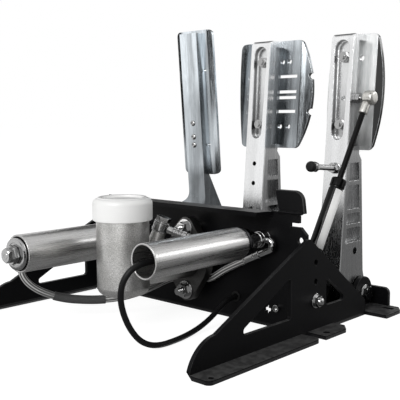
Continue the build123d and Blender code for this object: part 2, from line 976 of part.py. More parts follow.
# Throttle arm: broad heel at the pivot, slim neck above
throttle_low_x = throttle_x - arm_width / 2
with BuildPart() as throttle:
    with BuildSketch(Plane.YZ.offset(throttle_low_x)):
        with BuildLine():
            Polyline(
                (pivot_y + boss_r * heel_front_share, pivot_z - boss_r * heel_drop_share),
                (front_y(front_low_z), front_low_z),
                (throttle_y(throttle_bend_z), throttle_bend_z),
                (throttle_y(throttle_top_z), throttle_top_z),
                (throttle_y(throttle_top_z) - throttle_depth, throttle_top_z),
                (throttle_y(plate_low_z) - throttle_depth, plate_low_z),
                (back_high_y, throttle_bend_z - boss_r),
                (back_low_y, back_low_z),
                (pivot_y - boss_r * heel_back_share, pivot_z + boss_r * heel_rise_share),
                (pivot_y, pivot_z),
                close=True,
            )
        make_face()
        with Locations((pivot_y, pivot_z)):
            Circle(boss_r)
            Circle(pin_r + bush_wall + press_gap, mode=Mode.SUBTRACT)
    extrude(amount=arm_width / 2 + heel_out)
    # The heel's step at the +X side, with its sweeping corner
    with BuildSketch(Plane.XZ.offset(cut_over + boss_r)):
        with BuildLine():
            step_x = throttle_low_x + arm_width
            far_x = throttle_x + heel_out + cut_over
            far_z = throttle_top_z + cut_over
            Line((step_x, far_z), (step_x, heel_z + neck_round))
            RadiusArc((step_x, heel_z + neck_round), (step_x + neck_round, heel_z), -neck_round)
            Line((step_x + neck_round, heel_z), (far_x, heel_z))
            Line((far_x, heel_z), (far_x, far_z))
            Line((far_x, far_z), (step_x, far_z))
        make_face()
    extrude(amount=-(front_ref_y + pad_depth + 3 * cut_over), mode=Mode.SUBTRACT)
    for screw_z in plate_screw_zs:
        seat = throttle_seat(screw_z)
        way = seat.z_dir
        start = seat.origin - way * cut_over
        add_round(start, way, throttle_depth + 2 * cut_over, plate_hole_r + bolt_fit, mode=Mode.SUBTRACT)
keep(throttle, "throttle_arm")


# Throttle plate: a folded sheet with rounded corners
plate_base = throttle_seat(plate_low_z)
plate_rise = (plate_high_z - plate_low_z) / plate_base.y_dir.Z
plate_across = Plane(origin=plate_base.origin, x_dir=plate_base.x_dir, z_dir=plate_base.y_dir)
with BuildPart() as foot_plate:
    with BuildSketch(plate_across):
        with BuildLine():
            Polyline(
                (-plate_far, plate_far_rise),
                (-arm_width / 2, 0),
                (plate_crease, 0),
                (plate_fold_near, plate_fold_rise),
                (plate_near, plate_rim_rise),
                (plate_near, plate_rim_rise + plate_sheet),
                (plate_fold_near, plate_fold_rise + plate_sheet),
                (plate_crease, plate_sheet),
                (-arm_width / 2, plate_sheet),
                (-plate_far, plate_far_rise + plate_sheet),
                close=True,
            )
        make_face()
    extrude(amount=plate_rise)
    with BuildSketch(plate_base):
        with BuildLine():
            Polyline((-plate_far, 0), (plate_near, 0), (plate_near, plate_rise), (-plate_far, plate_rise), close=True)
        make_face()
        fillet(vertices(), plate_round)
    extrude(amount=pad_depth, both=True, mode=Mode.INTERSECT)
    with BuildSketch(plate_base):
        for screw_z in plate_screw_zs:
            with Locations((0, (screw_z - plate_low_z) / plate_base.y_dir.Z)):
                Circle(plate_hole_r + bolt_fit)
        with Locations((plate_hole_x, plate_hole_z - plate_low_z), (plate_hole_x, plate_screw_zs[0] - plate_low_z)):
            Circle(plate_hole_r)
    extrude(amount=pad_depth, both=True, mode=Mode.SUBTRACT)
keep(foot_plate, "throttle_plate")

# Throttle plate screws: heads in front, nuts behind the sheet
with BuildPart() as plate_screws:
    for screw_z in plate_screw_zs:
        seat = throttle_seat(screw_z)
        way = seat.z_dir
        depth = throttle_depth * way.Y
        add_round(seat.origin - way * plate_sheet, way, plate_sheet + depth, plate_hole_r)
        add_round(seat.origin + way * depth, way, plate_hole_r, 2 * plate_hole_r)
        add_round(seat.origin - way * (plate_sheet + plate_hole_r), way, plate_hole_r, 2 * plate_hole_r)
keep(plate_screws, "throttle_screws")

# Clutch stop screw with its lock nut, and the rubber bumper
stop_face = front_plane(clutch_x, stop_z)
stop_way = stop_face.z_dir
stop_start = stop_face.origin
with BuildPart() as stop_screw:
    add_round(stop_start, stop_way, small_washer, small_washer_r)
    add_hex(stop_start + stop_way * small_washer, stop_way, small_nut, stop_flats)
    add_round(stop_start + stop_way * (small_washer + small_nut), stop_way, stop_length - small_nut, stop_r)
    add_hex(stop_start + stop_way * (stop_length - small_nut), stop_way, small_nut, stop_flats)
keep(stop_screw, "clutch_stop_screw")

with BuildPart() as bumper:
    bumper_base = stop_start + stop_way * (stop_length + small_washer)
    add_round(bumper_base, stop_way, bumper_long - bumper_r / 2, bumper_r)
    fillet(bumper.faces().sort_by(Axis.Y)[-1].edges(), bumper_r / 2)
keep(bumper, "clutch_stop_bumper")

# Gas spring between the clutch arm and the side plate
spring_way = (upper_ball - lower_ball).normalized()
spring_length = (upper_ball - lower_ball).length
side_way = Vector(1, 0, 0)

with BuildPart() as upper_stud:
    arm_face_x = clutch_x - arm_width / 2
    stud_start = Vector(arm_face_x, upper_ball.Y, upper_ball.Z)
    add_hex(stud_start, side_way * -1, small_nut, small_flats)
    add_round(stud_start, side_way * -1, arm_face_x - upper_ball.X, neck_r)
    with Locations(upper_ball):
        Sphere(ball_r, rotation=(0, 90, 0))
keep(upper_stud, "upper_ball_stud")

with BuildPart() as lower_stud:
    inner_x = -side_inner
    outer_x = -side_outer
    nut_start = Vector(inner_x, lower_ball.Y, lower_ball.Z)
    add_round(nut_start, side_way, small_washer, small_washer_r)
    add_hex(nut_start + side_way * small_washer, side_way, small_nut, small_flats)
    add_round(nut_start, side_way, lower_ball.X - inner_x, neck_r)
    with Locations(lower_ball):
        Sphere(ball_r, rotation=(0, 90, 0))
    add_round(nut_start, side_way * -1, sheet + 2 * small_nut, stud_r)
    add_round(Vector(outer_x, lower_ball.Y, lower_ball.Z), side_way * -1, small_washer, small_washer_r + small_washer)
    add_hex(Vector(outer_x - small_washer, lower_ball.Y, lower_ball.Z), side_way * -1, small_nut, small_flats)
keep(lower_stud, "lower_ball_stud")

with BuildPart() as upper_socket:
    add_round(upper_ball - side_way * (ball_r + socket_spare + socket_wall), side_way,
              2 * ball_r + socket_spare + socket_wall - neck_r, socket_r)
    add_round(upper_ball - spring_way * socket_drop, spring_way, socket_drop, rod_r + socket_wall)
    add_round(upper_ball - side_way * (ball_r + socket_spare), side_way, 3 * ball_r, ball_r + socket_open,
              mode=Mode.SUBTRACT)
keep(upper_socket, "upper_socket")

with BuildPart() as lower_socket:
    add_round(lower_ball - side_way * (ball_r - neck_r / 2), side_way, 2 * ball_r + socket_wall - neck_r / 2, lower_socket_r)
    add_round(lower_ball, spring_way, tube_start, rod_r + socket_wall)
    with Locations(lower_ball):
        Sphere(ball_r + run_fit, mode=Mode.SUBTRACT)
    add_round(lower_ball, side_way * -1, 2 * ball_r, ball_r - socket_wall, mode=Mode.SUBTRACT)
keep(lower_socket, "lower_socket")

with BuildPart() as gas_tube:
    add_round(lower_ball + spring_way * tube_start, spring_way, tube_end - tube_start, tube_r)
    add_round(lower_ball + spring_way * (tube_end - gland_long), spring_way, gland_long, gland_r)
    add_round(lower_ball + spring_way * (tube_end - tube_bore_depth), spring_way, tube_bore_depth,
              rod_r + run_fit, mode=Mode.SUBTRACT)
    rims = gas_tube.edges().filter_by(GeomType.CIRCLE).sort_by(lambda rim: (rim.center() - lower_ball).length)
    outer_rims = [rim for rim in rims if abs(rim.radius - tube_r) < press_gap or abs(rim.radius - gland_r) < press_gap]
    fillet([outer_rims[0], outer_rims[-1]], socket_wall)
keep(gas_tube, "gas_tube")

with BuildPart() as gas_rod:
    rod_foot = lower_ball + spring_way * (tube_end - rod_inside)
    add_round(rod_foot, spring_way, spring_length - socket_drop - tube_end + rod_inside, rod_r)
keep(gas_rod, "gas_rod")


# Gauge values of the master cylinder
master_way = Vector(0, 1, 0)
up_way = Vector(0, 0, 1)
outlet_dir = outlet_way.normalized()
outlet_top = outlet_base + outlet_dir * outlet_rise
banjo_low = outlet_top + outlet_dir * banjo_washer
neck_a_dir = Vector(-0.75, -0.55, -0.35).normalized()
neck_a_dir = (neck_a_dir - outlet_dir * neck_a_dir.dot(outlet_dir)).normalized()

# Master cylinder: cast flange, body, reservoir and outlet boss in one piece
with BuildPart() as master:
    with BuildSketch(Plane.XZ.offset(-flange_back)):
        with Locations((master_x, master_z)):
            Circle(flange_r)
        with Locations((master_x, master_z + flange_bolt), (master_x, master_z - flange_bolt)):
            Circle(flange_end_r)
        make_hull()
    extrude(amount=-flange_thick)
    with BuildSketch(Plane.XZ.offset(-flange_front)):
        with Locations((master_x, master_z)):
            Circle(body_r)
    with BuildSketch(Plane.XZ.offset(-master_y)):
        with Locations((master_x, master_z)):
            Circle(body_tip_r)
    loft()
    with BuildSketch(Plane.XY.offset(reservoir_low_z)):
        with Locations((master_x, master_y)):
            Circle(reservoir_r)
    extrude(amount=reservoir_high_z - reservoir_low_z)
    low_rim = [
        rim
        for rim in master.edges().filter_by(GeomType.CIRCLE)
        if abs(rim.center().Z - reservoir_low_z) < press_gap
    ]
    fillet(low_rim, reservoir_round)
    with BuildSketch(Plane.XY.offset(reservoir_high_z)):
        with Locations((master_x, master_y)):
            Circle(reservoir_neck_r)
    extrude(amount=reservoir_neck)
    with BuildSketch(Plane(origin=outlet_base, z_dir=outlet_dir)):
        Circle(outlet_base_r)
    with BuildSketch(Plane(origin=outlet_top, z_dir=outlet_dir)):
        Circle(outlet_top_r)
    loft()
    # Fluid well and piston bore
    with BuildSketch(Plane.XY.offset(reservoir_high_z + reservoir_neck)):
        with Locations((master_x, master_y)):
            Circle(well_r)
    extrude(amount=-well_depth, mode=Mode.SUBTRACT)
    add_round(Vector(master_x, flange_back, master_z), master_way, bore_end - flange_back, bore_r, mode=Mode.SUBTRACT)
    for hand in (1, -1):
        stud_point = Vector(master_x, flange_back, master_z + hand * flange_bolt)
        add_round(stud_point, master_way, flange_thick, pin_r + bolt_fit, mode=Mode.SUBTRACT)
    add_round(outlet_top, outlet_dir * -1, outlet_rise / 2, banjo_bore - banjo_washer, mode=Mode.SUBTRACT)
keep(master, "master_cylinder")

# Master studs with spacers, washers and nuts
for place, hand in (("upper", 1), ("lower", -1)):
    stud_z = master_z + hand * flange_bolt
    with BuildPart() as spacer:
        add_round(Vector(master_x, panel_front, stud_z), master_way, stand_off, spacer_r, pin_r + bolt_fit)
    keep(spacer, f"flange_spacer_{place}")
    with BuildPart() as stud:
        start = Vector(master_x, panel_back - washer_thick - head_high, stud_z)
        end_y = flange_front + stud_length
        add_hex(start, master_way, head_high, head_flats)
        add_round(start, master_way, head_high + washer_thick, panel_stud_r)
        add_round(Vector(master_x, panel_back - washer_thick, stud_z), master_way, washer_thick, washer_r)
        add_round(Vector(master_x, panel_back, stud_z), master_way, end_y - panel_back, panel_stud_r - press_gap)
        add_round(Vector(master_x, flange_front, stud_z), master_way, washer_thick, washer_r + washer_thick)
        add_hex(Vector(master_x, flange_front + washer_thick, stud_z), master_way, nut_high, head_flats)
    keep(stud, f"flange_stud_{place}")

# Reservoir cap, hollow below, dished on top
with BuildPart() as cap:
    cap_low_z = reservoir_high_z + seat_gap
    cap_place = Vector(master_x, master_y, cap_low_z)
    add_round(cap_place, up_way, cap_high - seat_gap, cap_r)
    fillet(cap.edges().group_by(Axis.Z)[-1], cap_crown)
    add_round(cap_place, up_way, reservoir_neck, reservoir_neck_r + seat_gap, mode=Mode.SUBTRACT)
    dish_place = Vector(master_x, master_y, reservoir_high_z + cap_high - cap_dish)
    add_round(dish_place, up_way, cap_high, cap_dish_r, mode=Mode.SUBTRACT)
keep(cap, "reservoir_cap")

# Brake linkage: pin, pushrod and piston
with BuildPart() as link_pin:
    pin_x = brake_x - arm_width / 2
    add_round(Vector(pin_x - washer_thick, link_y, link_z), side_way, arm_width + 2 * washer_thick, link_pin_r)
    add_round(Vector(pin_x - washer_thick, link_y, link_z), side_way, washer_thick, 2 * link_pin_r)
    add_round(Vector(pin_x + arm_width, link_y, link_z), side_way, washer_thick, 2 * link_pin_r)
keep(link_pin, "brake_link_pin")

eye_r = fork_slot / 2 + link_pin_r / 2
with BuildPart() as pushrod:
    eye_x = master_x - fork_slot / 2 + seat_gap
    add_round(Vector(eye_x, link_y, link_z), side_way, fork_slot - 2 * seat_gap, eye_r)
    add_round(Vector(master_x, link_y, link_z), master_way, pushrod_tip_y - link_y, pushrod_r)
    add_hex(Vector(master_x, link_y + eye_r + pushrod_r, link_z), master_way, small_nut, small_flats)
    add_round(Vector(eye_x - cut_over, link_y, link_z), side_way, fork_slot + 2 * cut_over, link_pin_r + run_fit,
              mode=Mode.SUBTRACT)
keep(pushrod, "brake_pushrod")

with BuildPart() as piston:
    piston_start = Vector(master_x, pushrod_tip_y + seat_gap, master_z)
    add_round(piston_start, master_way, piston_length, bore_r - run_fit)
keep(piston, "master_piston")


# Banjo fitting with its neck and ferrule
def banjo(name, low, axis_dir, neck_dir, ring_radius):
    """Ring round a hollow bolt, with a neck out to a crimped ferrule."""
    centre = low + axis_dir * (banjo_thick / 2)
    with BuildPart() as fitting:
        add_round(low, axis_dir, banjo_thick, ring_radius)
        neck_start = ring_radius - banjo_neck_r / 2
        add_round(centre + neck_dir * neck_start, neck_dir, ring_radius + ferrule_r - neck_start, banjo_neck_r)
        add_round(centre + neck_dir * (ring_radius + ferrule_r), neck_dir, ferrule_long, ferrule_r)
        add_round(low, axis_dir, banjo_thick, bulkhead_r, mode=Mode.SUBTRACT)
    keep(fitting, name)
    return centre + neck_dir * (ring_radius + ferrule_r + ferrule_long)


hose_a_start = banjo("outlet_banjo", banjo_low, outlet_dir, neck_a_dir, banjo_r)
with BuildPart() as outlet_bolt:
    add_round(outlet_top, outlet_dir, banjo_washer, banjo_r)
    add_round(outlet_top, outlet_dir, banjo_thick + 2 * banjo_washer, bulkhead_r - press_gap)
    add_round(banjo_low + outlet_dir * banjo_thick, outlet_dir, banjo_washer, banjo_r)
    add_hex(banjo_low + outlet_dir * (banjo_thick + banjo_washer), outlet_dir, banjo_head, banjo_flats)
keep(outlet_bolt, "outlet_bolt")

# Sensor branch: ring on the panel with a swept elbow back under it
ring_low = Vector(sensor_x, panel_front + washer_thick, sensor_z)
ring_centre = ring_low + master_way * (banjo_thick / 2)
neck_b_dir = Vector(0.91, 0, -0.414).normalized()
elbow_centre = ring_centre - Vector(elbow_out, 0, elbow_r)
elbow_end = elbow_centre + Vector(neck_b_dir.Z, 0, -neck_b_dir.X) * elbow_r
ferrule_start = elbow_end + neck_b_dir * elbow_tail
hose_b_start = ferrule_start + neck_b_dir * elbow_ferrule
with BuildPart() as elbow:
    with BuildLine() as elbow_route:
        Line(ring_centre - side_way * (elbow_out / 2), ring_centre - side_way * elbow_out)
        ThreePointArc(ring_centre - side_way * elbow_out, elbow_centre - side_way * elbow_r, elbow_end)
        Line(elbow_end, ferrule_start)
    with BuildSketch(Plane(origin=ring_centre - side_way * (elbow_out / 2), z_dir=side_way * -1)) as elbow_section:
        Circle(banjo_neck_r)
    sweep(elbow_section.sketch, path=elbow_route.wire())
    add_round(ring_low, master_way, banjo_thick, elbow_ring_r)
    add_round(ferrule_start, neck_b_dir, elbow_ferrule, ferrule_r)
    add_round(ring_low, master_way, banjo_thick, bulkhead_r, mode=Mode.SUBTRACT)
keep(elbow, "sensor_banjo")

# Tee, adapter, tube and transducer of the sensor branch
tee_start_y = panel_front + washer_thick + banjo_thick
adapter_y = sensor_tube_in - adapter_long
hex_y = adapter_y - sensor_hex_long
port_a_dir = Vector(0.921, 0.358, -0.153).normalized()
tee_centre = Vector(sensor_x, hex_y - tee_r, sensor_z)
hose_a_end = tee_centre + port_a_dir * (tee_r + ferrule_r)
nut_y = panel_back - bulkhead_nut_high
with BuildPart() as tee:
    add_round(Vector(sensor_x, tee_start_y, sensor_z), master_way, hex_y - tee_start_y, tee_r)
    add_hex(Vector(sensor_x, hex_y, sensor_z), master_way, sensor_hex_long, sensor_hex)
    add_round(tee_centre, port_a_dir, tee_r + ferrule_r, ferrule_r)
    add_round(Vector(sensor_x, nut_y, sensor_z), master_way, tee_start_y - nut_y, bulkhead_r - press_gap)
    add_hex(Vector(sensor_x, nut_y, sensor_z), master_way, bulkhead_nut_high, bulkhead_nut)
    add_round(Vector(sensor_x, panel_front, sensor_z), master_way, washer_thick, elbow_ring_r)
keep(tee, "sensor_tee")

sensor_bore = sensor_tube_r - sensor_tube_wall
with BuildPart() as adapter:
    add_round(Vector(sensor_x, adapter_y, sensor_z), master_way, adapter_long, adapter_r)
    add_round(Vector(sensor_x, sensor_tube_in, sensor_z), master_way, adapter_plug, sensor_bore - press_gap)
keep(adapter, "sensor_adapter")

with BuildPart() as sensor_tube:
    tube_long = sensor_tube_out - sensor_tube_in
    add_round(Vector(sensor_x, sensor_tube_in, sensor_z), master_way, tube_long, sensor_tube_r, sensor_bore)
keep(sensor_tube, "sensor_tube")

with BuildPart() as transducer:
    body_y = sensor_tube_in + adapter_plug
    add_round(Vector(sensor_x, body_y, sensor_z), master_way, transducer_long, transducer_r)
    add_round(Vector(sensor_x, body_y + transducer_long, sensor_z), master_way, transducer_tail, transducer_tail_r)
    cable_y = body_y + transducer_long + transducer_tail
keep(transducer, "pressure_sensor")

# Slave cylinder: body on the panel, adapter, tube, guide, end washer, rod and nuts
slave_adapter_y = slave_in - adapter_long
port_b_dir = Vector(0.95, 0.31, 0).normalized()
slave_centre = Vector(slave_x, panel_front + slave_body_r + ring_r, slave_z)
hose_b_end = slave_centre + port_b_dir * (slave_body_r + ferrule_r)
slave_bore = slave_r - slave_wall
with BuildPart() as slave_body:
    add_round(Vector(slave_x, panel_front, slave_z), master_way, slave_adapter_y - panel_front, slave_body_r)
    add_round(slave_centre, port_b_dir, slave_body_r + ferrule_r, ferrule_r)
    add_round(Vector(slave_x, nut_y, slave_z), master_way, panel_front - nut_y, bulkhead_r - press_gap)
    add_hex(Vector(slave_x, nut_y, slave_z), master_way, bulkhead_nut_high, bulkhead_nut)
keep(slave_body, "slave_body")

with BuildPart() as slave_adapter:
    add_round(Vector(slave_x, slave_adapter_y, slave_z), master_way, adapter_long, slave_bore)
    add_round(Vector(slave_x, slave_in, slave_z), master_way, adapter_plug, slave_bore - press_gap)
keep(slave_adapter, "slave_adapter")

with BuildPart() as slave_tube:
    add_round(Vector(slave_x, slave_in, slave_z), master_way, slave_out - slave_in, slave_r, slave_bore)
keep(slave_tube, "slave_tube")

washer_y = slave_out + seat_gap
guide_y = slave_rod_end - slave_rod_inside - slave_plug_long
with BuildPart() as slave_guide:
    add_round(Vector(slave_x, guide_y, slave_z), master_way, washer_y - guide_y, slave_bore - press_gap)
    ring_step = slave_bore - slave_step / 2
    add_round(Vector(slave_x, slave_out - slave_step, slave_z), master_way, slave_step + seat_gap, slave_bore,
              ring_step, mode=Mode.SUBTRACT)
    add_round(Vector(slave_x, guide_y, slave_z), master_way, slave_out, slave_rod_r + run_fit, mode=Mode.SUBTRACT)
keep(slave_guide, "slave_guide")

with BuildPart() as slave_washer:
    add_round(Vector(slave_x, washer_y, slave_z), master_way, slave_cup_thick, slave_cup_r, slave_rod_r + run_fit)
    fillet(slave_washer.faces().sort_by(Axis.Y)[-1].edges().sort_by(SortBy.RADIUS)[-1], slave_cup_thick / 4)
keep(slave_washer, "slave_washer")

rod_nut_y = washer_y + slave_cup_thick
with BuildPart() as slave_rod:
    rod_start = slave_rod_end - slave_rod_inside
    add_round(Vector(slave_x, rod_start, slave_z), master_way, slave_rod_inside, slave_rod_r)
keep(slave_rod, "slave_rod")

with BuildPart() as slave_nuts:
    bore = slave_rod_r + press_gap
    add_hex(Vector(slave_x, rod_nut_y, slave_z), master_way, slave_nut_thick, slave_nut_flats, bore)
    add_hex(Vector(slave_x, rod_nut_y + slave_nut_thick, slave_z), master_way, slave_cap_high, slave_cap_flats, bore)
keep(slave_nuts, "slave_nuts")

# Short hose from the master's outlet to the tee
hose_a_points = [
    hose_a_start,
    hose_a_start + neck_a_dir * neck_lead,
    Vector(sensor_x + 41.0, 171.5, 86.0),
    hose_a_end + port_a_dir * port_lead,
    hose_a_end,
]
keep(cord("brake_hose_short", hose_a_points, hose_r), "brake_hose_short")

# Long hose from the tee under the master and round to the slave cylinder
hose_b_points = [
    hose_b_start,
    hose_b_start + neck_b_dir * ring_lead,
    Vector(master_x - 28.0, 138.6, 43.0),
    Vector(master_x - 18.0, 138.7, 38.4),
    Vector(master_x + 2.0, 138.7, 38.0),
    Vector(master_x + 23.0, 138.9, 36.5),
    Vector(slave_x - 38.5, 148.5, 32.5),
    Vector(slave_x - 35.0, 168.0, 27.0),
    Vector(slave_x - 32.0, 188.0, 22.5),
    Vector(slave_x - 24.0, 210.0, 19.5),
    Vector(slave_x - 10.0, 233.0, 19.5),
    Vector(slave_x + 5.0, 257.0, 23.0),
    Vector(slave_x + 18.0, 277.0, 31.0),
    Vector(slave_x + 26.5, 290.5, 43.0),
    Vector(slave_x + 30.5, 295.0, 57.0),
    Vector(slave_x + 30.0, 287.0, 70.0),
    Vector(slave_x + 27.0, 269.0, 78.0),
    Vector(slave_x + 25.5, 243.0, 80.5),
    Vector(slave_x + 26.5, 215.0, 79.0),
    Vector(slave_x + 31.0, 193.0, 80.0),
    Vector(slave_x + 34.5, 176.0, 79.8),
    hose_b_end + port_b_dir * port_lead,
    hose_b_end,
]
keep(cord("brake_hose_long", hose_b_points, hose_r), "brake_hose_long")

# Shrink sleeve on the long hose, along the same bends
long_radii = cord_radii(hose_b_points)
sleeve_points = [
    (hose_b_points[9] + hose_b_points[10]) / 2,
    hose_b_points[10],
    hose_b_points[11],
    (hose_b_points[11] + hose_b_points[12]) / 2,
]
with BuildPart() as sleeve:
    with BuildLine() as sleeve_route:
        FilletPolyline(*sleeve_points, radius=long_radii[9:11])
    with BuildSketch(Plane(origin=sleeve_points[0], z_dir=sleeve_points[1] - sleeve_points[0])) as sleeve_section:
        Circle(shrink_r)
        Circle(hose_r, mode=Mode.SUBTRACT)
    sweep(sleeve_section.sketch, path=sleeve_route.wire())
keep(sleeve, "hose_sleeve")

# Sensor cable: out of the tube's mouth, down to the floor and back to the grommet
cable_points = [
    Vector(sensor_x, cable_y, sensor_z),
    Vector(sensor_x, 262.0, sensor_z),
    Vector(sensor_x + 0.7, 286.0, 89.2),
    Vector(sensor_x + 2.5, 306.0, 87.5),
    Vector(sensor_x + 7.0, 315.0, 77.0),
    Vector(sensor_x + 12.0, 315.0, 62.0),
    Vector(sensor_x + 17.0, 308.0, 45.0),
    Vector(sensor_x + 21.0, 296.0, 26.0),
    Vector(sensor_x + 22.5, 281.0, 10.5),
    Vector(sensor_x + 22.5, 262.0, 3.2),
    Vector(sensor_x + 23.5, 236.0, 3.0),
    Vector(sensor_x + 29.0, 208.0, 3.4),
    Vector(sensor_x + 34.0, 182.0, 7.5),
    Vector(sensor_x + 36.8, 160.0, 16.5),
    Vector(grommet_x, 145.0, grommet_z),
    Vector(grommet_x, panel_back, grommet_z),
]
keep(cord("sensor_cable", cable_points, cable_r), "sensor_cable")

with BuildPart() as grommet:
    grommet_lip = 1.4
    start = Vector(grommet_x, panel_back, grommet_z)
    add_round(start, master_way, sheet, grommet_r - press_gap, cable_r + bolt_fit)
    add_round(start + master_way * sheet, master_way, grommet_lip, grommet_r + grommet_lip, cable_r + bolt_fit)
keep(grommet, "cable_grommet")

# Junction box behind the panel, where the cable ends
with BuildPart() as junction_box:
    with BuildSketch(Plane.XZ.offset(-panel_back)):
        with Locations((grommet_x, grommet_z + lead_plug_r)):
            RectangleRounded(2 * lead_plug_long, 4 * lead_plug_r, lead_plug_r / 2)
    extrude(amount=lead_plug_long)
keep(junction_box, "junction_box")

# Socket-head bolts low in the panel
with BuildPart() as panel_bolts:
    for hand in (1, -1):
        bolt_place = Vector(hand * panel_bolt_x, panel_back, panel_bolt_z)
        add_round(bolt_place, master_way, sheet, small_screw_r - press_gap)
        add_round(bolt_place + master_way * sheet, master_way, small_head, small_head + press_gap)
        add_round(bolt_place + master_way * (sheet + small_head / 3), master_way, small_head, small_screw_r * socket_share,
                  mode=Mode.SUBTRACT)
        add_hex(bolt_place, master_way * -1, small_nut, small_flats)
keep(panel_bolts, "panel_bolts")
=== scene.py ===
from math import cos, pi, radians, sin

import bmesh
import bpy
from bpy.props import FloatProperty, FloatVectorProperty, IntProperty, PointerProperty
from mathutils import Matrix, Vector


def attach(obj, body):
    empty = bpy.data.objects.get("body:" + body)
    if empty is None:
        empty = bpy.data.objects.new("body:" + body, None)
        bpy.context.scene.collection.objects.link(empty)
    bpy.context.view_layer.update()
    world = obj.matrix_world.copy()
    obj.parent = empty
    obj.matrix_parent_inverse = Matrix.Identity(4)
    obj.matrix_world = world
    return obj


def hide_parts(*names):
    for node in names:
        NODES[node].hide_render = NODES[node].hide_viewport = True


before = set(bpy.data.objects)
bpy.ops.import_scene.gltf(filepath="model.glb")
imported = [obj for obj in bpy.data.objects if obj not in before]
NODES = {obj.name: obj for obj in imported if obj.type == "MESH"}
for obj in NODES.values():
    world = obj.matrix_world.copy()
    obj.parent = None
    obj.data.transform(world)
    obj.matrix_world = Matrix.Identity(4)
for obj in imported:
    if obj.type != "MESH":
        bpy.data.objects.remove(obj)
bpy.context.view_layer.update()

bl_info = {
    "name": "Racing pedal set",
    "version": (1, 0, 0),
    "blender": (4, 5, 0),
    "location": "3D View > Sidebar > Pedals",
    "description": "Dresses a three-pedal racing set: arms, pads, hydraulics, gas spring, frame and studio",
    "category": "Object",
}

MM = 0.001


# Sizes and colours that a user would change
class PedalSizes(bpy.types.PropertyGroup):
    """Sizes of the small details"""

    edge_ease: FloatProperty(
        name="Edge easing", description="Width of the broken edges on milled parts",
        default=0.0006, min=0.0, unit="LENGTH")
    sheet_ease: FloatProperty(
        name="Sheet easing", description="Width of the rounded edges on painted sheet",
        default=0.0007, min=0.0, unit="LENGTH")
    thread_pitch: FloatProperty(
        name="Thread pitch", description="Distance between the crests of the larger threads",
        default=0.00125, min=0.0003, unit="LENGTH")
    cable_radius: FloatProperty(
        name="Cable radius", description="Half the sensor cable's diameter", default=0.00275, min=0.001, unit="LENGTH")
    hose_radius: FloatProperty(
        name="Hose radius", description="Half the braided hose's diameter", default=0.00375, min=0.001, unit="LENGTH")
    round_steps: IntProperty(
        name="Round steps", description="Facets round a turned part that has no count of its own",
        default=40, min=12, max=256)


class PedalColours(bpy.types.PropertyGroup):
    """Base colours of the finishes"""

    frame_coat: FloatVectorProperty(
        name="Frame coat", description="Powder coat of the frame", subtype="COLOR", default=(0.0035, 0.0035, 0.004))
    milled: FloatVectorProperty(
        name="Milled aluminium", description="Pedal arms", subtype="COLOR", default=(0.86, 0.865, 0.87))
    rolled: FloatVectorProperty(
        name="Rolled aluminium", description="Pads and throttle plate", subtype="COLOR", default=(0.84, 0.90, 0.95))
    steel: FloatVectorProperty(
        name="Brushed steel", description="Both tubes", subtype="COLOR", default=(0.56, 0.555, 0.55))
    cast: FloatVectorProperty(
        name="Cast aluminium", description="Master cylinder", subtype="COLOR", default=(0.62, 0.615, 0.605))
    plating: FloatVectorProperty(
        name="Plating", description="Nuts, bolts and fittings", subtype="COLOR", default=(0.4, 0.4, 0.4))
    cap: FloatVectorProperty(
        name="Cap", description="Reservoir cap", subtype="COLOR", default=(0.88, 0.88, 0.87))
    jacket: FloatVectorProperty(
        name="Cable jacket", description="Sensor cable", subtype="COLOR", default=(0.006, 0.006, 0.0065))


def sizes():
    """The size settings of this scene."""
    return bpy.context.scene.pedal_sizes


def colours():
    """The colour settings of this scene."""
    return bpy.context.scene.pedal_colours


# Places and directions on the pedal set, in millimetres
FORWARD = Vector((0, 1, 0))
SIDE = Vector((1, 0, 0))
UP = Vector((0, 0, 1))
PANEL_BACK = 128.7
PANEL_FACE = 132.7
PANEL_BOLT_X = 117
PANEL_BOLT_Z = 21
GROMMET = (-62.5, PANEL_BACK, 24.2)
SIDE_PLATE_OUTSIDE = -155
SIDE_PLATE_INSIDE = -151
ARM_X = {"clutch": -120.75, "brake": -10, "throttle": 83.25}
ARM_LEAN = 0.0863
ARM_WAY = Vector((0, 1, ARM_LEAN)).normalized()
ARM_RECESS = 8
# Each leaning face passes its y at its z
ARM_FACE_Y, ARM_FACE_Z = 44.7, 74.6
PLATE_FACE_Y, PLATE_FACE_Z = 39, 140
PAD_BOLT_HEIGHTS = (276, 204)
FRONT_BOLT_HEIGHT = 100.4
STOP_SCREW_HEIGHT = 157
THROTTLE_LEAN = 0.0787
THROTTLE_WAY = Vector((0, 1, -THROTTLE_LEAN)).normalized()
THROTTLE_PLATE_DEPTH = 10
THROTTLE_SCREW_HEIGHTS = (178.5, 188.5, 205.5)
# Each pedal's boss runs across between two places, and its bracket's outside lies past each end
BOSS_ENDS = {"clutch": (-134.5, -107), "brake": (-23.75, 3.75), "throttle": (69.5, 108.75)}
BOSS_TO_BRACKET = 6.05
MASTER_X = -10
FLANGE_FACE = 154.7
CAP_PLACE = (MASTER_X, 243, 112.3)
STUD_HEIGHTS = {"upper": 94.1, "lower": 27.1}
UPPER_BALL = Vector((-148, 18.2, 231.6))
LOWER_BALL = Vector((-134, 121.5, 32.6))
SPRING_WAY = (UPPER_BALL - LOWER_BALL).normalized()
BALL_R = 5

# Sizes across flats, thread pitch, and washers as bore, radius, thickness and eased rim
M6_FLATS = 10
M8_FLATS = 13
M10_FLATS = 17
M6_PITCH = 1
M6_WASHER = (3.1, 6, 1.2, 0.2)
M8_WASHER = (4.1, 8.5, 1.6, 0.3)
CUT_SHARP = 20


def arm_front(pedal, height):
    """A point on the middle of an arm's front face."""
    return Vector((ARM_X[pedal], ARM_FACE_Y + ARM_LEAN * (ARM_FACE_Z - height), height))


def sensor_axis(y):
    """A point on the axis of the sensor's fittings and tube."""
    return Vector((-100, y, 90))


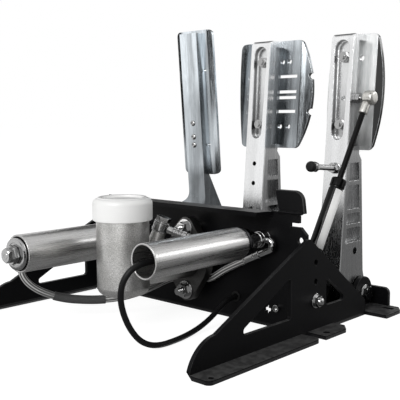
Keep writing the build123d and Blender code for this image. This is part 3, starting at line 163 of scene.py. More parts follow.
def slave_axis(y):
    """A point on the axis of the slave's fittings and tube."""
    return Vector((62, y, 79.5))


def pivot_axis(x):
    """A point on the pedals' common pivot axis."""
    return Vector((x, 5, 18.5))


# Places of the hydraulic line
BANJO_THICK = 8.4
OUTLET_RING_R = 8.2
SENSOR_RING_R = 8.5
FERRULE_R = 4.8
FERRULE_LONG = 15
OUTLET_WAY = Vector((-0.27, -0.22, 0.94)).normalized()
OUTLET_TOP = Vector((-12, 206, 76)) + OUTLET_WAY * 22
OUTLET_CENTRE = OUTLET_TOP + OUTLET_WAY * (1 + BANJO_THICK / 2)
ROUGH_NECK = Vector((-0.75, -0.55, -0.35)).normalized()
OUTLET_NECK = (ROUGH_NECK - OUTLET_WAY * ROUGH_NECK.dot(OUTLET_WAY)).normalized()
SENSOR_NECK = Vector((0.91, 0, -0.414)).normalized()
SENSOR_CENTRE = sensor_axis(134.3 + BANJO_THICK / 2)
ELBOW_R = 5.2
ELBOW_CENTRE = SENSOR_CENTRE - Vector((9, 0, ELBOW_R))
ELBOW_END = ELBOW_CENTRE + Vector((SENSOR_NECK.z, 0, -SENSOR_NECK.x)) * ELBOW_R
ELBOW_TAIL = 12.8
ELBOW_FERRULE = 22
TEE_WAY = Vector((0.921, 0.358, -0.153)).normalized()
TEE_CENTRE = sensor_axis(149.8)
SLAVE_WAY = Vector((0.95, 0.31, 0)).normalized()
SLAVE_CENTRE = slave_axis(155.7)
CABLE_POINTS = [
    (-100, 238.8, 90), (-100, 262, 90), (-99.3, 286, 89.2), (-97.5, 306, 87.5),
    (-93, 315, 77), (-88, 315, 62), (-83, 308, 45), (-79, 296, 26),
    (-77.5, 281, 10.5), (-77.5, 262, 3.2), (-76.5, 236, 3), (-71, 208, 3.4),
    (-66, 182, 7.5), (-63.2, 160, 16.5), (-62.5, 145, 24.2), GROMMET,
]
SHORT_HOSE_MIDDLE = (-59, 171.5, 86)
LONG_HOSE_MIDDLE = [
    (-38, 138.6, 43), (-28, 138.7, 38.4), (-8, 138.7, 38), (13, 138.9, 36.5),
    (23.5, 148.5, 32.5), (27, 168, 27), (30, 188, 22.5), (38, 210, 19.5),
    (52, 233, 19.5), (67, 257, 23), (80, 277, 31), (88.5, 290.5, 43),
    (92.5, 295, 57), (92, 287, 70), (89, 269, 78), (87.5, 243, 80.5),
    (88.5, 215, 79), (93, 193, 80), (96.5, 176, 79.8),
]

# Looks: painted light and shade against height from z 0.14 to z 0.32 m, and the depths of an arm's painted shade in
# metres
BRAKE_PAD_PAINTED_LIGHT = ((0, 0.45), (0.3, 0.5), (0.5, 0.3), (0.75, 0.5), (0.95, 0.8))
THROTTLE_PAINTED_LIGHT = ((0, 0.3), (0.12, 0.65), (0.3, 0.7), (0.5, 0.65), (0.72, 1))
CLUTCH_PAD_PAINTED_LIGHT = ((0, 0.35), (0.25, 0.42), (0.48, 0.95), (0.75, 1), (1, 1))
PAD_HEIGHTS = (0.14, 0.32)
ARM_FACE_AT_FLOOR = 0.0511
FLANK_FADE = (0.0012, 0.003)
TOP_FADE = (0.2, 0.25)
RECESS_SHADE = 0.8
RECESS_SIDES = (0.0105, 0.012)
RECESS_MOUTH = (0.0008, 0.002)
RECESS_FLOOR = (0.006, 0.0074)
EVEN = (1, 1, 1)
LONG_IN_Z = (1, 1, 0.02)
LONG_IN_Y = (1, 0.02, 1)
BLACK = (0, 0, 0)
WHITE = (1, 1, 1)
SOOT = (0.003, 0.003, 0.003)

# Studio: the camera, then lamps with width, height and watts, and cards with width, height and glow
CAMERA_PLACE = (-0.55615, 0.71637, 0.21048)
CAMERA_LENS = 66.5
YAW, PITCH, ROLL = radians(43.044), radians(6.282), radians(-0.27)
FLOOR_WIDTH = 30
FLOOR_GLOW = 1.3
FLOOR_GLOW_SHARE = 0.7
WORLD_LIGHT = 0.36
MIDDLE = (0, 0.14, 0.12)
PADS = (0, 0.05, 0.2)
LAMPS = (
    ("back_top_box", (-0.62, -0.9, 0.62), 1.1, 0.2, 2.6),
    ("right_box", (-1.35, -0.25, 0.75), 0.7, 0.9, 0.1),
    ("key_box", (-0.35, 1.6, 0.95), 0.8, 0.8, 17),
)
CARDS = (
    ("front_flag", (0.05, 1.8, 0.25), PADS, 1.3, 1, 0),
    ("side_flag", (1.6, 0.55, 0.25), PADS, 0.6, 1, 0),
    ("high_flag", (0.35, -0.85, 1), MIDDLE, 1.5, 0.6, 0),
    ("floor_flag", (-1.6, -1.4, 0.003), (-1.6, -1.4, 1), 3.8, 3.8, 0.22),
    ("top_flag", (-0.2, 0.5, 1.3), MIDDLE, 0.9, 0.5, 0),
    ("left_flag", (-1.3, 0.2, 0.25), MIDDLE, 1.1, 0.9, 0),
    ("rear_flag", (0.7, -0.9, 0.5), MIDDLE, 1.1, 0.5, 0),
)


# Material building blocks
def emptied(owner):
    """The node tree of a material or world, with no nodes in it."""
    owner.use_nodes = True
    owner.node_tree.nodes.clear()
    return owner.node_tree


def new_finish(name):
    """A new material and its empty node tree."""
    finish = bpy.data.materials.new(name)
    return finish, emptied(finish)


def add_node(tree, kind, inputs=None, **settings):
    """A new node; each input is given a plain value or is linked to another node's output."""
    node = tree.nodes.new(kind)
    for name, value in settings.items():
        setattr(node, name, value)
    for socket, value in (inputs or {}).items():
        if isinstance(value, bpy.types.NodeSocket):
            tree.links.new(value, node.inputs[socket])
        else:
            node.inputs[socket].default_value = value
    return node


def show(tree, shader, output="ShaderNodeOutputMaterial"):
    """Make a shader the surface of a material, or of the world."""
    add_node(tree, output, {"Surface": shader.outputs[0]})


def show_principled(tree, **inputs):
    """Make a Principled shader the surface; an input's name has _ for a space."""
    show(tree, add_node(
        tree, "ShaderNodeBsdfPrincipled", {name.replace("_", " "): value for name, value in inputs.items()}))


def grain(tree, scale, stretch=EVEN, detail=3, rough=0.5):
    """Noise on object coordinates, stretched along the axes."""
    place = add_node(tree, "ShaderNodeTexCoord").outputs["Object"]
    way = add_node(tree, "ShaderNodeMapping", {"Vector": place, "Scale": stretch}).outputs["Vector"]
    inputs = {"Vector": way, "Scale": scale, "Detail": detail, "Roughness": rough}
    return add_node(tree, "ShaderNodeTexNoise", inputs).outputs["Fac"]


def span(tree, value, low, high, from_low=0.35, from_high=0.65):
    """A value mapped from one range, by default that of noise, to another."""
    inputs = {"Value": value, "From Min": from_low, "From Max": from_high, "To Min": low, "To Max": high}
    return add_node(tree, "ShaderNodeMapRange", inputs).outputs["Result"]


def tint(tree, value, low, high, low_at=0.35, high_at=0.65):
    """A colour ramp between two colours."""
    node = add_node(tree, "ShaderNodeValToRGB", {"Fac": value})
    for element, place, colour in zip(node.color_ramp.elements, (low_at, high_at), (low, high)):
        element.position = place
        element.color = (*colour, 1)
    return node.outputs["Color"]


def steps_of(tree, value, stops):
    """A colour ramp through several (position, brightness) stops."""
    node = add_node(tree, "ShaderNodeValToRGB", {"Fac": value})
    ramp = node.color_ramp
    while len(ramp.elements) < len(stops):
        ramp.elements.new(0.5)
    for element, (place, light) in zip(ramp.elements, sorted(stops)):
        element.position = place
        element.color = (light, light, light, 1)
    return node.outputs["Color"]


def relief(tree, value, strength, distance, **under):
    """A bump from a height, on top of another bump that is given as Normal."""
    inputs = {"Height": value, "Strength": strength, "Distance": distance, **under}
    return add_node(tree, "ShaderNodeBump", inputs).outputs["Normal"]


def shade(colour, factor):
    """A colour made darker or lighter."""
    return tuple(min(1, channel * factor) for channel in colour)


def multiplied(tree, first, second):
    """Two colours multiplied."""
    inputs = {"Factor": 1, "A": first, "B": second}
    return add_node(tree, "ShaderNodeMix", inputs, data_type="RGBA", blend_type="MULTIPLY").outputs["Result"]


def reckon(tree, kind, *values):
    """A sum, product or other result of values, each a plain number or an output."""
    return add_node(tree, "ShaderNodeMath", dict(enumerate(values)), operation=kind).outputs["Value"]


def along(tree, axis, space="Object"):
    """One coordinate of the object's space in metres, or of its normal."""
    place = add_node(tree, "ShaderNodeTexCoord").outputs[space]
    return add_node(tree, "ShaderNodeSeparateXYZ", {"Vector": place}).outputs[axis]


def edges_with_wear_and_highlight(tree, shown, edge_colour, factor, place=None):
    """A colour that turns lighter on the eased edges of sheet and milled parts, as wear and a painted highlight, or in
    another place.
    """
    if place is None:
        place = add_node(tree, "ShaderNodeAttribute", attribute_name="edge_wear_and_highlight").outputs["Fac"]
    patchy = span(tree, grain(tree, 160), factor * 0.5, factor, 0.4, 0.6)
    inputs = {"Factor": reckon(tree, "MULTIPLY", place, patchy), "A": shown, "B": (*edge_colour, 1)}
    return add_node(tree, "ShaderNodeMix", inputs, data_type="RGBA").outputs["Result"]


def arm_painted_shade(tree):
    """Painted shade behind an arm's front face, in its recess and on its flanks, except near the top."""
    front = reckon(tree, "MULTIPLY_ADD", along(tree, "Z"), -ARM_LEAN, ARM_FACE_AT_FLOOR)
    depth = reckon(tree, "SUBTRACT", front, along(tree, "Y"))
    deep = span(tree, depth, 0, 1, *FLANK_FADE)
    low = span(tree, along(tree, "Z"), 0.5, 0.15, *TOP_FADE)
    aside = [
        reckon(tree, "ABSOLUTE", reckon(tree, "SUBTRACT", along(tree, "X"), ARM_X[pedal] * MM))
        for pedal in ("brake", "clutch")
    ]
    inside = span(tree, reckon(tree, "MINIMUM", *aside), RECESS_SHADE, 0, *RECESS_SIDES)
    wall = reckon(
        tree, "SUBTRACT", span(tree, depth, 0, 1, *RECESS_MOUTH), span(tree, depth, 0, 1, *RECESS_FLOOR))
    shaded = reckon(tree, "MAXIMUM", reckon(tree, "MULTIPLY", deep, low), reckon(tree, "MULTIPLY", wall, inside))
    return tint(tree, reckon(tree, "SUBTRACT", 1, shaded), BLACK, WHITE, 0, 1)


# Finishes
def metal_finish(
        name, colour, rough, scale, stretch=EVEN, bump=0.02, bands=None, spread=0.9, painted_shade=None, metal=1):
    """A bare metal with directional grain; bands add broad streaks of a scale and a darkness."""
    finish, tree = new_finish(name)
    fine = grain(tree, scale, stretch, 4, 0.6)
    shown = tint(tree, fine, shade(colour, spread), shade(colour, 1.05))
    if bands:
        broad_scale, darkest = bands
        broad = grain(tree, broad_scale, stretch, 2, 0.45)
        shown = multiplied(tree, shown, tint(tree, broad, (darkest,) * 3, WHITE, 0.36, 0.56))
    # Painted shade multiplied into the colour, such as an arm's recess and flanks
    if painted_shade:
        shown = multiplied(tree, shown, painted_shade(tree))
    # Eased edges turn lighter from wear and a painted highlight
    show_principled(
        tree, Base_Color=edges_with_wear_and_highlight(tree, shown, (0.95, 0.95, 0.95), 0.7), Roughness=span(tree, fine, *rough),
        Normal=relief(tree, fine, bump, 0.0001), Metallic=metal)
    return finish


def pad_finish(name, colour, stops, darkest, rough, shaded_wing=None, metal=1):
    """Polished sheet with upright streaks, the broad ones a painted reflection, and bands of painted light and shade by
    height; a wing gets painted shade below a place across.
    """
    finish, tree = new_finish(name)
    fine = grain(tree, 900, LONG_IN_Z, 4, 0.6)
    broad = grain(tree, 85, LONG_IN_Z, 3, 0.55)
    cloud = grain(tree, 24, detail=2)
    # Painted light and shade by height, made uneven by a cloud of noise
    level = span(tree, along(tree, "Z"), 0, 1, *PAD_HEIGHTS)
    painted_light_height = reckon(tree, "SUBTRACT", reckon(tree, "MULTIPLY_ADD", cloud, 0.35, level), 0.175)
    shown = tint(tree, fine, shade(colour, 0.86), shade(colour, 1.06))
    shown = multiplied(tree, shown, steps_of(tree, painted_light_height, stops))
    # Broad upright streaks are a painted reflection
    shown = multiplied(tree, shown, tint(tree, broad, (darkest,) * 3, WHITE, 0.38, 0.56))
    # Painted shade on the wing beyond a place across
    if shaded_wing:
        edge, share = shaded_wing
        inward = span(tree, along(tree, "X"), 0, 1, edge - 0.001, edge + 0.0005)
        shown = multiplied(tree, shown, tint(tree, inward, (share,) * 3, WHITE, 0, 1))
    # Eased edges turn lighter from wear and a painted highlight
    show_principled(
        tree, Base_Color=edges_with_wear_and_highlight(tree, shown, (0.9, 0.92, 0.94), 0.8), Roughness=span(tree, fine, *rough),
        Normal=relief(tree, fine, 0.02, 0.0001), Metallic=metal)
    return finish


def coat_finish(name, colour, rough, scale, bump, fleck=1, shine=0.5, edge=0, dust_and_top_light=0):
    """A paint, rubber or plastic with fine texture; where it faces up it is dusty and has painted light, and its edges
    turn lighter from wear and a painted highlight.
    """
    finish, tree = new_finish(name)
    fine = grain(tree, scale, detail=2)
    shown = tint(tree, fine, colour, shade(colour, fleck), 0.55, 0.75)
    # Up-facing faces: dust and painted light, a painted sheen on the frame and painted shade on the cap's top
    if dust_and_top_light:
        facing_up = span(tree, along(tree, "Z", "Normal"), 0, 1, 0.9, 0.99)
        shown = edges_with_wear_and_highlight(tree, shown, (dust_and_top_light,) * 3, 1, facing_up)
    # Eased edges turn lighter from wear and a painted highlight
    if edge:
        shown = edges_with_wear_and_highlight(tree, shown, (edge,) * 3, 0.8)
    show_principled(
        tree, Base_Color=shown, Roughness=span(tree, grain(tree, 30), *rough),
        Normal=relief(tree, fine, bump, 0.0003), Specular_IOR_Level=shine)
    return finish


def cast_finish(name, colour):
    """Sand-cast aluminium: speckled and softly rough, with painted shade making it dark at the mounting flange."""
    finish, tree = new_finish(name)
    speckle = grain(tree, 1300, rough=0.7)
    mottled = tint(tree, speckle, shade(colour, 0.65), shade(colour, 1.4))
    stain = tint(tree, grain(tree, 32), (0.78, 0.78, 0.77), WHITE)
    # Painted shade darkens the casting towards its mounting flange
    flange_shade = span(tree, along(tree, "Y"), 0, 1, 0.14, 0.26)
    shown = multiplied(tree, mottled, stain)
    shown = multiplied(tree, shown, steps_of(tree, flange_shade, ((0, 0.1), (0.25, 0.16), (0.5, 1))))
    lumps = relief(tree, grain(tree, 420), 0.2, 0.0004)
    show_principled(
        tree, Base_Color=shown, Roughness=span(tree, speckle, 0.28, 0.4),
        Normal=relief(tree, speckle, 0.25, 0.0002, Normal=lumps), Metallic=0.92)
    return finish


def braid_finish(name, colour):
    """Stainless braid on the hose's own map: strands that wind slowly along it, under a clear jacket."""
    finish, tree = new_finish(name)
    place = add_node(tree, "ShaderNodeTexCoord").outputs["UV"]
    waves = []
    for turn in (0.3, -0.3):
        way = add_node(tree, "ShaderNodeMapping", {"Vector": place, "Rotation": (0, 0, turn)}).outputs["Vector"]
        inputs = {"Vector": way, "Scale": 2.6, "Distortion": 0.6, "Detail": 1}
        wave = add_node(tree, "ShaderNodeTexWave", inputs, wave_type="BANDS", bands_direction="Y")
        waves.append(wave.outputs["Fac"])
    woven = reckon(tree, "MULTIPLY", *waves)
    show_principled(
        tree, Base_Color=tint(tree, woven, shade(colour, 0.16), colour, 0.05, 0.5),
        Normal=relief(tree, woven, 0.4, 0.0003), Metallic=0.5, Roughness=0.36, Coat_Weight=0.3, Coat_Roughness=0.12)
    return finish


FINISHES = {}


def finish_for(slot):
    """The material of a slot, made on first use."""
    if slot in FINISHES:
        return FINISHES[slot]
    paint = colours()
    recipes = {
        # The frame's lighter edges and up-facing faces are partly wear and dust, partly a painted highlight and sheen
        "frame_black": lambda: coat_finish(
            "powder_coat", paint.frame_coat, (0.34, 0.46), 1400, 0.2, fleck=2.6, shine=0.1, edge=0.1, dust_and_top_light=0.06),
        # Arms carry painted shade in their recesses and on their flanks
        "milled_aluminium": lambda: metal_finish(
            "milled_arm", paint.milled, (0.2, 0.28), 900, LONG_IN_Z, 0.006, (60, 0.9), 0.96, arm_painted_shade),
        # Pads and throttle carry painted light by height, painted reflection streaks and painted shade on a wing
        "pad_aluminium": lambda: pad_finish(
            "brake_pad", paint.rolled, BRAKE_PAD_PAINTED_LIGHT, 0.5, (0.16, 0.26), shaded_wing=(-0.056, 0.3)),
        "throttle_aluminium": lambda: pad_finish(
            "throttle_plate", paint.rolled, THROTTLE_PAINTED_LIGHT, 0.6, (0.12, 0.2)),
        # The clutch pad's lighter colour is painted light
        "clutch_aluminium": lambda: pad_finish(
            "clutch_pad", shade(paint.rolled, 1.15), CLUTCH_PAD_PAINTED_LIGHT, 0.97, (0.12, 0.2), (-0.148, 0.03), 0.3),
        "bronze": lambda: metal_finish("bronze_bush", (0.5, 0.36, 0.2), (0.3, 0.4), 800),
        "braided_hose": lambda: braid_finish("steel_braid", (0.7, 0.7, 0.69)),
        "zinc": lambda: metal_finish("zinc_plating", paint.plating, (0.1, 0.18), 900, bump=0.004),
        "dark_rubber": lambda: coat_finish(
            "dark_rubber", (0.008, 0.008, 0.008), (0.5, 0.62), 1500, 0.1, fleck=1.6, shine=0.2),
        "sleeve_gray": lambda: coat_finish(
            "shrink_sleeve", (0.06, 0.06, 0.06), (0.45, 0.6), 900, 0.1, fleck=1.5, shine=0.3),
        "rod_black": lambda: coat_finish("black_rod", SOOT, (0.14, 0.18), 500, 0.01, shine=0.14),
        "gloss_black": lambda: coat_finish("gloss_tube", SOOT, (0.14, 0.2), 900, 0.02, shine=0.14),
        "box_plastic": lambda: coat_finish(
            "box_plastic", (0.01, 0.01, 0.01), (0.45, 0.55), 900, 0.2, fleck=1.4, shine=0.3),
        "socket_nickel": lambda: metal_finish("satin_nickel", (0.6, 0.59, 0.56), (0.26, 0.34), 1100),
        "cast_aluminium": lambda: cast_finish("sand_cast", paint.cast),
        "piston_steel": lambda: metal_finish("turned_steel", (0.5, 0.5, 0.5), (0.22, 0.34), 2000),
        # The cap's darker top is painted shade
        "cap_plastic": lambda: coat_finish(
            "cap_plastic", paint.cap, (0.32, 0.42), 700, 0.02, fleck=1.02, dust_and_top_light=0.7),
        "black_fitting": lambda: metal_finish("blackened_steel", (0.04, 0.04, 0.042), (0.26, 0.38), 1000),
        "cable_black": lambda: coat_finish(
            "cable_jacket", paint.jacket, (0.4, 0.5), 1200, 0.06, fleck=1.4, shine=0.2),
        "tube_steel": lambda: metal_finish(
            "brushed_tube", paint.steel, (0.24, 0.34), 1500, LONG_IN_Y, 0.03, (140, 0.86), 0.88, metal=0.95),
        "label_blank": lambda: coat_finish("blank_label", (0.93, 0.93, 0.92), (0.4, 0.5), 900, 0.02),
    }
    FINISHES[slot] = recipes[slot]()
    return FINISHES[slot]


# Mesh building blocks, whose places and sizes are in millimetres
def at(x, y, z):
    """A point given in millimetres."""
    return Vector((x, y, z)) * MM


def aim(start, way, spin=0):
    """Matrix that stands a shape built along Z on a start point, along a direction."""
    turn = UP.rotation_difference(way.normalized()).to_matrix().to_4x4()
    return Matrix.Translation(at(*start)) @ turn @ Matrix.Rotation(spin, 4, "Z")


def join(target, part):
    """Add one shape to another."""
    mesh = bpy.data.meshes.new("joined")
    part.to_mesh(mesh)
    part.free()
    target.from_mesh(mesh)
    bpy.data.meshes.remove(mesh)


def turned(profile, start, way, steps=None, ring=False):
    """A turned solid from (along, radius) pairs, closed on its axis; a ring's profile closes on itself."""
    shape = bmesh.new()
    if not ring:
        low, high = ([(height, 0)] if radius > 1e-6 else [] for height, radius in (profile[0], profile[-1]))
        profile = low + profile + high
    corners = [shape.verts.new((radius * MM, 0, height * MM)) for height, radius in profile]
    edges = [shape.edges.new(pair) for pair in zip(corners, corners[1:])]
    if ring:
        edges.append(shape.edges.new((corners[-1], corners[0])))
    bmesh.ops.spin(
        shape, geom=corners + edges, cent=(0, 0, 0), axis=(0, 0, 1), angle=2 * pi,
        steps=steps or sizes().round_steps, use_merge=True)
    bmesh.ops.remove_doubles(shape, verts=shape.verts, dist=1e-6)
    bmesh.ops.recalc_face_normals(shape, faces=shape.faces)
    bmesh.ops.transform(shape, matrix=aim(start, way), verts=shape.verts)
    return shape


def even_ring(half, thick, start, way, steps):
    """A ring that is the same from both ends, from one half of its profile."""
    profile = half + [(thick - height, radius) for height, radius in reversed(half)]
    return turned(profile, start, way, steps, ring=True)


def pin(start, way, radius, length, steps=None, low=0):
    """A plain round pin."""
    return turned([(low, radius), (length, radius)], start, way, steps)


def washer(start, way, bore, radius, thick, ease, steps=None):
    """A flat washer or sleeve with eased rims."""
    return even_ring([(0, bore), (0, radius - ease), (ease, radius)], thick, start, way, steps)


def nutted(start, way, size, height, flats, spin, both=True, steps=None):
    """A washer of a size with a nut on it, or with a head whose underside isn't chamfered."""
    nut = hexagon(Vector(start) + way * size[2], way, height, flats, spin, both)
    return washer(start, way, *size, steps), nut


def ball(place, way):
    """The ball of a ball stud."""
    arc = [(BALL_R * cos(radians(turn)), BALL_R * sin(radians(turn))) for turn in range(0, 181, 12)]
    return turned(arc, place, way, 32)


def hexagon(start, way, height, flats, spin, both=False, chamfer=0.12):
    """A six-sided head or nut whose corners are cut by a flat chamfer."""
    shape = bmesh.new()
    radius = flats / 2 / cos(pi / 6) * MM
    bmesh.ops.create_cone(
        shape, cap_ends=True, cap_tris=False, segments=6, radius1=radius, radius2=radius, depth=height * MM)
    bmesh.ops.translate(shape, vec=(0, 0, height * MM / 2), verts=shape.verts)
    flatten = Matrix.Scale(2, 4, (0, 0, 1))
    bmesh.ops.transform(shape, matrix=flatten, verts=shape.verts)
    ends = [corner for corner in shape.verts if both or corner.co.z > height * MM]
    bmesh.ops.bevel(
        shape, geom=ends, offset=flats * chamfer * MM, offset_type="OFFSET", segments=1, profile=0.5,
        affect="VERTICES", material=-1)
    bmesh.ops.transform(shape, matrix=flatten.inverted(), verts=shape.verts)
    bmesh.ops.transform(shape, matrix=aim(start, way, spin), verts=shape.verts)
    return shape


def threaded(start, way, length, radius, pitch=None):
    """A screw end with thread crests and an eased tip."""
    pitch = pitch or sizes().thread_pitch / MM
    root = radius - pitch * 0.55
    profile = [(0, root)]
    for turn in range(max(2, int(length / pitch))):
        profile += [((turn + 0.25) * pitch, root), ((turn + 0.65) * pitch, radius), ((turn + 0.85) * pitch, radius)]
    return turned(profile + [(length, root)], start, way, 28)


def add_piece(shape, name, body, slot, stands_for=None, sharp=32, finish=None):
    """Make the object of a finished shape, on its body, with its finish."""
    mesh = bpy.data.meshes.new(name)
    shape.to_mesh(mesh)
    shape.free()
    mesh.shade_smooth()
    mesh.set_sharp_from_angle(angle=radians(sharp))
    mesh.materials.append(finish_for(finish or slot))
    piece = bpy.data.objects.new(name, mesh)
    bpy.context.scene.collection.objects.link(piece)
    weigh = piece.modifiers.new("even_faces", "WEIGHTED_NORMAL")
    weigh.keep_sharp = True
    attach(piece, body)
    if stands_for:
        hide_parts(stands_for)
    return piece


def fit(node, work, *parts, body="frame", slot="zinc", sharp=32):
    """Join the parts of a fitting into one piece, named for its node and its work, that stands for the node."""
    shape = bmesh.new()
    for part in parts:
        join(shape, part)
    return add_piece(shape, f"{node}_{work}", body, slot, node, sharp)


def eased_copy(node, name, body, slot, width, segments=2, finish=None):
    """A merged copy of a solid with its sharp edges rounded, standing for it."""
    shape = bmesh.new()
    shape.from_mesh(NODES[node].data)
    bmesh.ops.remove_doubles(shape, verts=shape.verts, dist=2e-6)
    bmesh.ops.dissolve_limit(
        shape, angle_limit=radians(0.4), use_dissolve_boundaries=False, verts=shape.verts, edges=shape.edges)
    sharp = [
        edge for edge in shape.edges
        if len(edge.link_faces) == 2 and edge.calc_face_angle(0) > radians(35)
    ]
    # Marks the bevelled faces, which get edge wear and a painted highlight
    edge_wear_and_highlight = shape.faces.layers.float.new("edge_wear_and_highlight")
    rounded = bmesh.ops.bevel(
        shape, geom=sharp, offset=width, offset_type="OFFSET", segments=segments, profile=0.5,
        affect="EDGES", clamp_overlap=True, material=-1)
    for face in rounded["faces"]:
        face[edge_wear_and_highlight] = 1
    return add_piece(shape, name, body, slot, node, finish=finish)


def route(name, points, radius, cuts=12):
    """A smooth curve through a route's control points."""
    data = bpy.data.curves.new(name, "CURVE")
    data.dimensions = "3D"
    line = data.splines.new("NURBS")
    line.points.add(len(points) - 1)
    for spot, place in zip(line.points, points):
        spot.co = (*(value * MM for value in place), 1)
    line.order_u = 3
    line.use_endpoint_u = True
    data.resolution_u = cuts
    data.bevel_depth = radius
    data.bevel_resolution = 6
    data.use_fill_caps = True
    curve = bpy.data.objects.new(name, data)
    bpy.context.scene.collection.objects.link(curve)
    return curve


def mesh_of(curve):
    """The mesh of a curve, with its own map, after which the curve is removed."""
    bpy.context.view_layer.update()
    shown = curve.evaluated_get(bpy.context.evaluated_depsgraph_get())
    mesh = bpy.data.meshes.new_from_object(shown)
    bpy.data.objects.remove(curve)
    return mesh


# Camera at the photograph's place
class PEDALS_OT_camera(bpy.types.Operator):
    """Set the camera at the photograph's viewing angle"""

    bl_idname = "pedals.camera"
    bl_label = "Camera"

    def execute(self, context):
        data = bpy.data.cameras.new("studio_camera")
        data.lens = CAMERA_LENS
        data.sensor_width = 36
        data.clip_start = 0.01
        data.clip_end = 50
        camera = bpy.data.objects.new("studio_camera", data)
        context.scene.collection.objects.link(camera)
        forward = Vector((sin(YAW) * cos(PITCH), -cos(YAW) * cos(PITCH), -sin(PITCH)))
        right = forward.cross(UP).normalized()
        up = right.cross(forward)
        level = right * cos(ROLL) + up * sin(ROLL)
        upward = -right * sin(ROLL) + up * cos(ROLL)
        turn = Matrix((level, upward, -forward)).transposed().to_4x4()
        camera.matrix_world = Matrix.Translation(CAMERA_PLACE) @ turn
        context.scene.camera = camera
        return {"FINISHED"}


# Cable and hoses
class PEDALS_OT_sensor_cable(bpy.types.Operator):
    """Lay the sensor cable from the tube's mouth to its grommet"""

    bl_idname = "pedals.sensor_cable"
    bl_label = "Sensor cable"

    def execute(self, context):
        radius = sizes().cable_radius
        cable = route("sensor_cable_jacket", CABLE_POINTS, radius, 16)
        cable.data.materials.append(finish_for("cable_black"))
        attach(cable, "frame")
        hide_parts("sensor_cable")
        return {"FINISHED"}


class PEDALS_OT_brake_hoses(bpy.types.Operator):
    """Run the braided hoses between their fittings"""

    bl_idname = "pedals.brake_hoses"
    bl_label = "Brake hoses"

    def execute(self, context):
        short_start = OUTLET_CENTRE + OUTLET_NECK * (OUTLET_RING_R + FERRULE_R + FERRULE_LONG)
        short_end = TEE_CENTRE + TEE_WAY * (8 + FERRULE_R)
        long_start = ELBOW_END + SENSOR_NECK * (ELBOW_TAIL + ELBOW_FERRULE)
        long_end = SLAVE_CENTRE + SLAVE_WAY * (13 + FERRULE_R)
        routes = {
            "short": [
                short_start, short_start + OUTLET_NECK * 9, SHORT_HOSE_MIDDLE, short_end + TEE_WAY * 11, short_end],
            "long": [
                long_start, long_start + SENSOR_NECK * 27, *LONG_HOSE_MIDDLE, long_end + SLAVE_WAY * 11, long_end],
        }
        for name, points in routes.items():
            mesh = mesh_of(route(f"{name}_hose", points, sizes().hose_radius))
            mesh.shade_smooth()
            mesh.materials.clear()
            mesh.materials.append(finish_for("braided_hose"))
            hose = bpy.data.objects.new(f"{name}_hose_braid", mesh)
            context.scene.collection.objects.link(hose)
            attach(hose, "frame")
            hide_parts(f"brake_hose_{name}")
        return {"FINISHED"}


# Fittings of the hydraulic line
def crimped_neck(centre, way, ring_r):
    """A banjo's neck and its crimped ferrule."""
    low = ring_r + FERRULE_R
    neck = [(ring_r - 2, 4.4), (ring_r + 1.2, 3.7), (low, 3.7)]
    ferrule = [(low, 4.3), (low + 0.5, FERRULE_R), (low + 2.6, FERRULE_R)]
    for groove in range(3):
        place = low + 3.2 + groove * 3.2
        ferrule += [(place, 4.35), (place + 1.2, 4.35), (place + 1.8, FERRULE_R), (place + 2.6, FERRULE_R)]
    ferrule += [(low + 14.4, FERRULE_R), (low + FERRULE_LONG, 4.3)]
    return turned(neck, centre, way, 32), turned(ferrule, centre, way)


def banjo_ring(low, way, ring_r):
    """A banjo's eased ring."""
    bore, ease = 5, 0.9
    half = [(0, bore), (0, ring_r - ease), (ease * 0.4, ring_r - ease * 0.3), (ease, ring_r)]
    return even_ring(half, BANJO_THICK, low, way, 48)


def items_of(geometry, kind):
    """The vertices or the edges among a mesh operator's results."""
    return [item for item in geometry if isinstance(item, kind)]


def pushed(shape, rim, way):
    """Extrude an open rim, and return its new vertices and edges."""
    grown = bmesh.ops.extrude_edge_only(shape, edges=rim)["geom"]
    ahead = items_of(grown, bmesh.types.BMVert)
    bmesh.ops.translate(shape, vec=way * MM, verts=ahead)
    return ahead + items_of(grown, bmesh.types.BMEdge)


def swept_elbow():
    """The sensor ring's neck: out to the side, round a tight bend and back to a smooth ferrule."""
    neck_r, lead = 3.9, SIDE * 5
    bend = bmesh.new()
    bmesh.ops.create_circle(bend, segments=32, radius=neck_r * MM, cap_ends=False)
    start = aim(ELBOW_CENTRE + UP * ELBOW_R + lead, -SIDE)
    bmesh.ops.transform(bend, matrix=start, verts=bend.verts)
    spun = bmesh.ops.spin(
        bend, geom=pushed(bend, list(bend.edges), -lead), cent=ELBOW_CENTRE * MM, axis=-FORWARD,
        angle=pi - SENSOR_NECK.angle(SIDE), steps=20, use_merge=False)
    pushed(bend, items_of(spun["geom_last"], bmesh.types.BMEdge), SENSOR_NECK * (ELBOW_TAIL + 2))
    bmesh.ops.remove_doubles(bend, verts=bend.verts, dist=1e-6)
    bmesh.ops.holes_fill(bend, edges=[edge for edge in bend.edges if edge.is_boundary], sides=0)
    bmesh.ops.recalc_face_normals(bend, faces=bend.faces)
    end = ELBOW_FERRULE
    ferrule = [
        (0, 4.4), (0.3, 4.8), (1.6, 4.8), (1.9, 4.3), (2.1, 4.1), (7.4, 4.1), (7.8, 4.4), (8.6, 4.4),
        (9, 4.1), (end - 2, 4.1), (end - 1.6, 4.5), (end - 0.3, 4.5), (end, 4.2),
    ]
    return bend, turned(ferrule, ELBOW_END + SENSOR_NECK * ELBOW_TAIL, SENSOR_NECK)


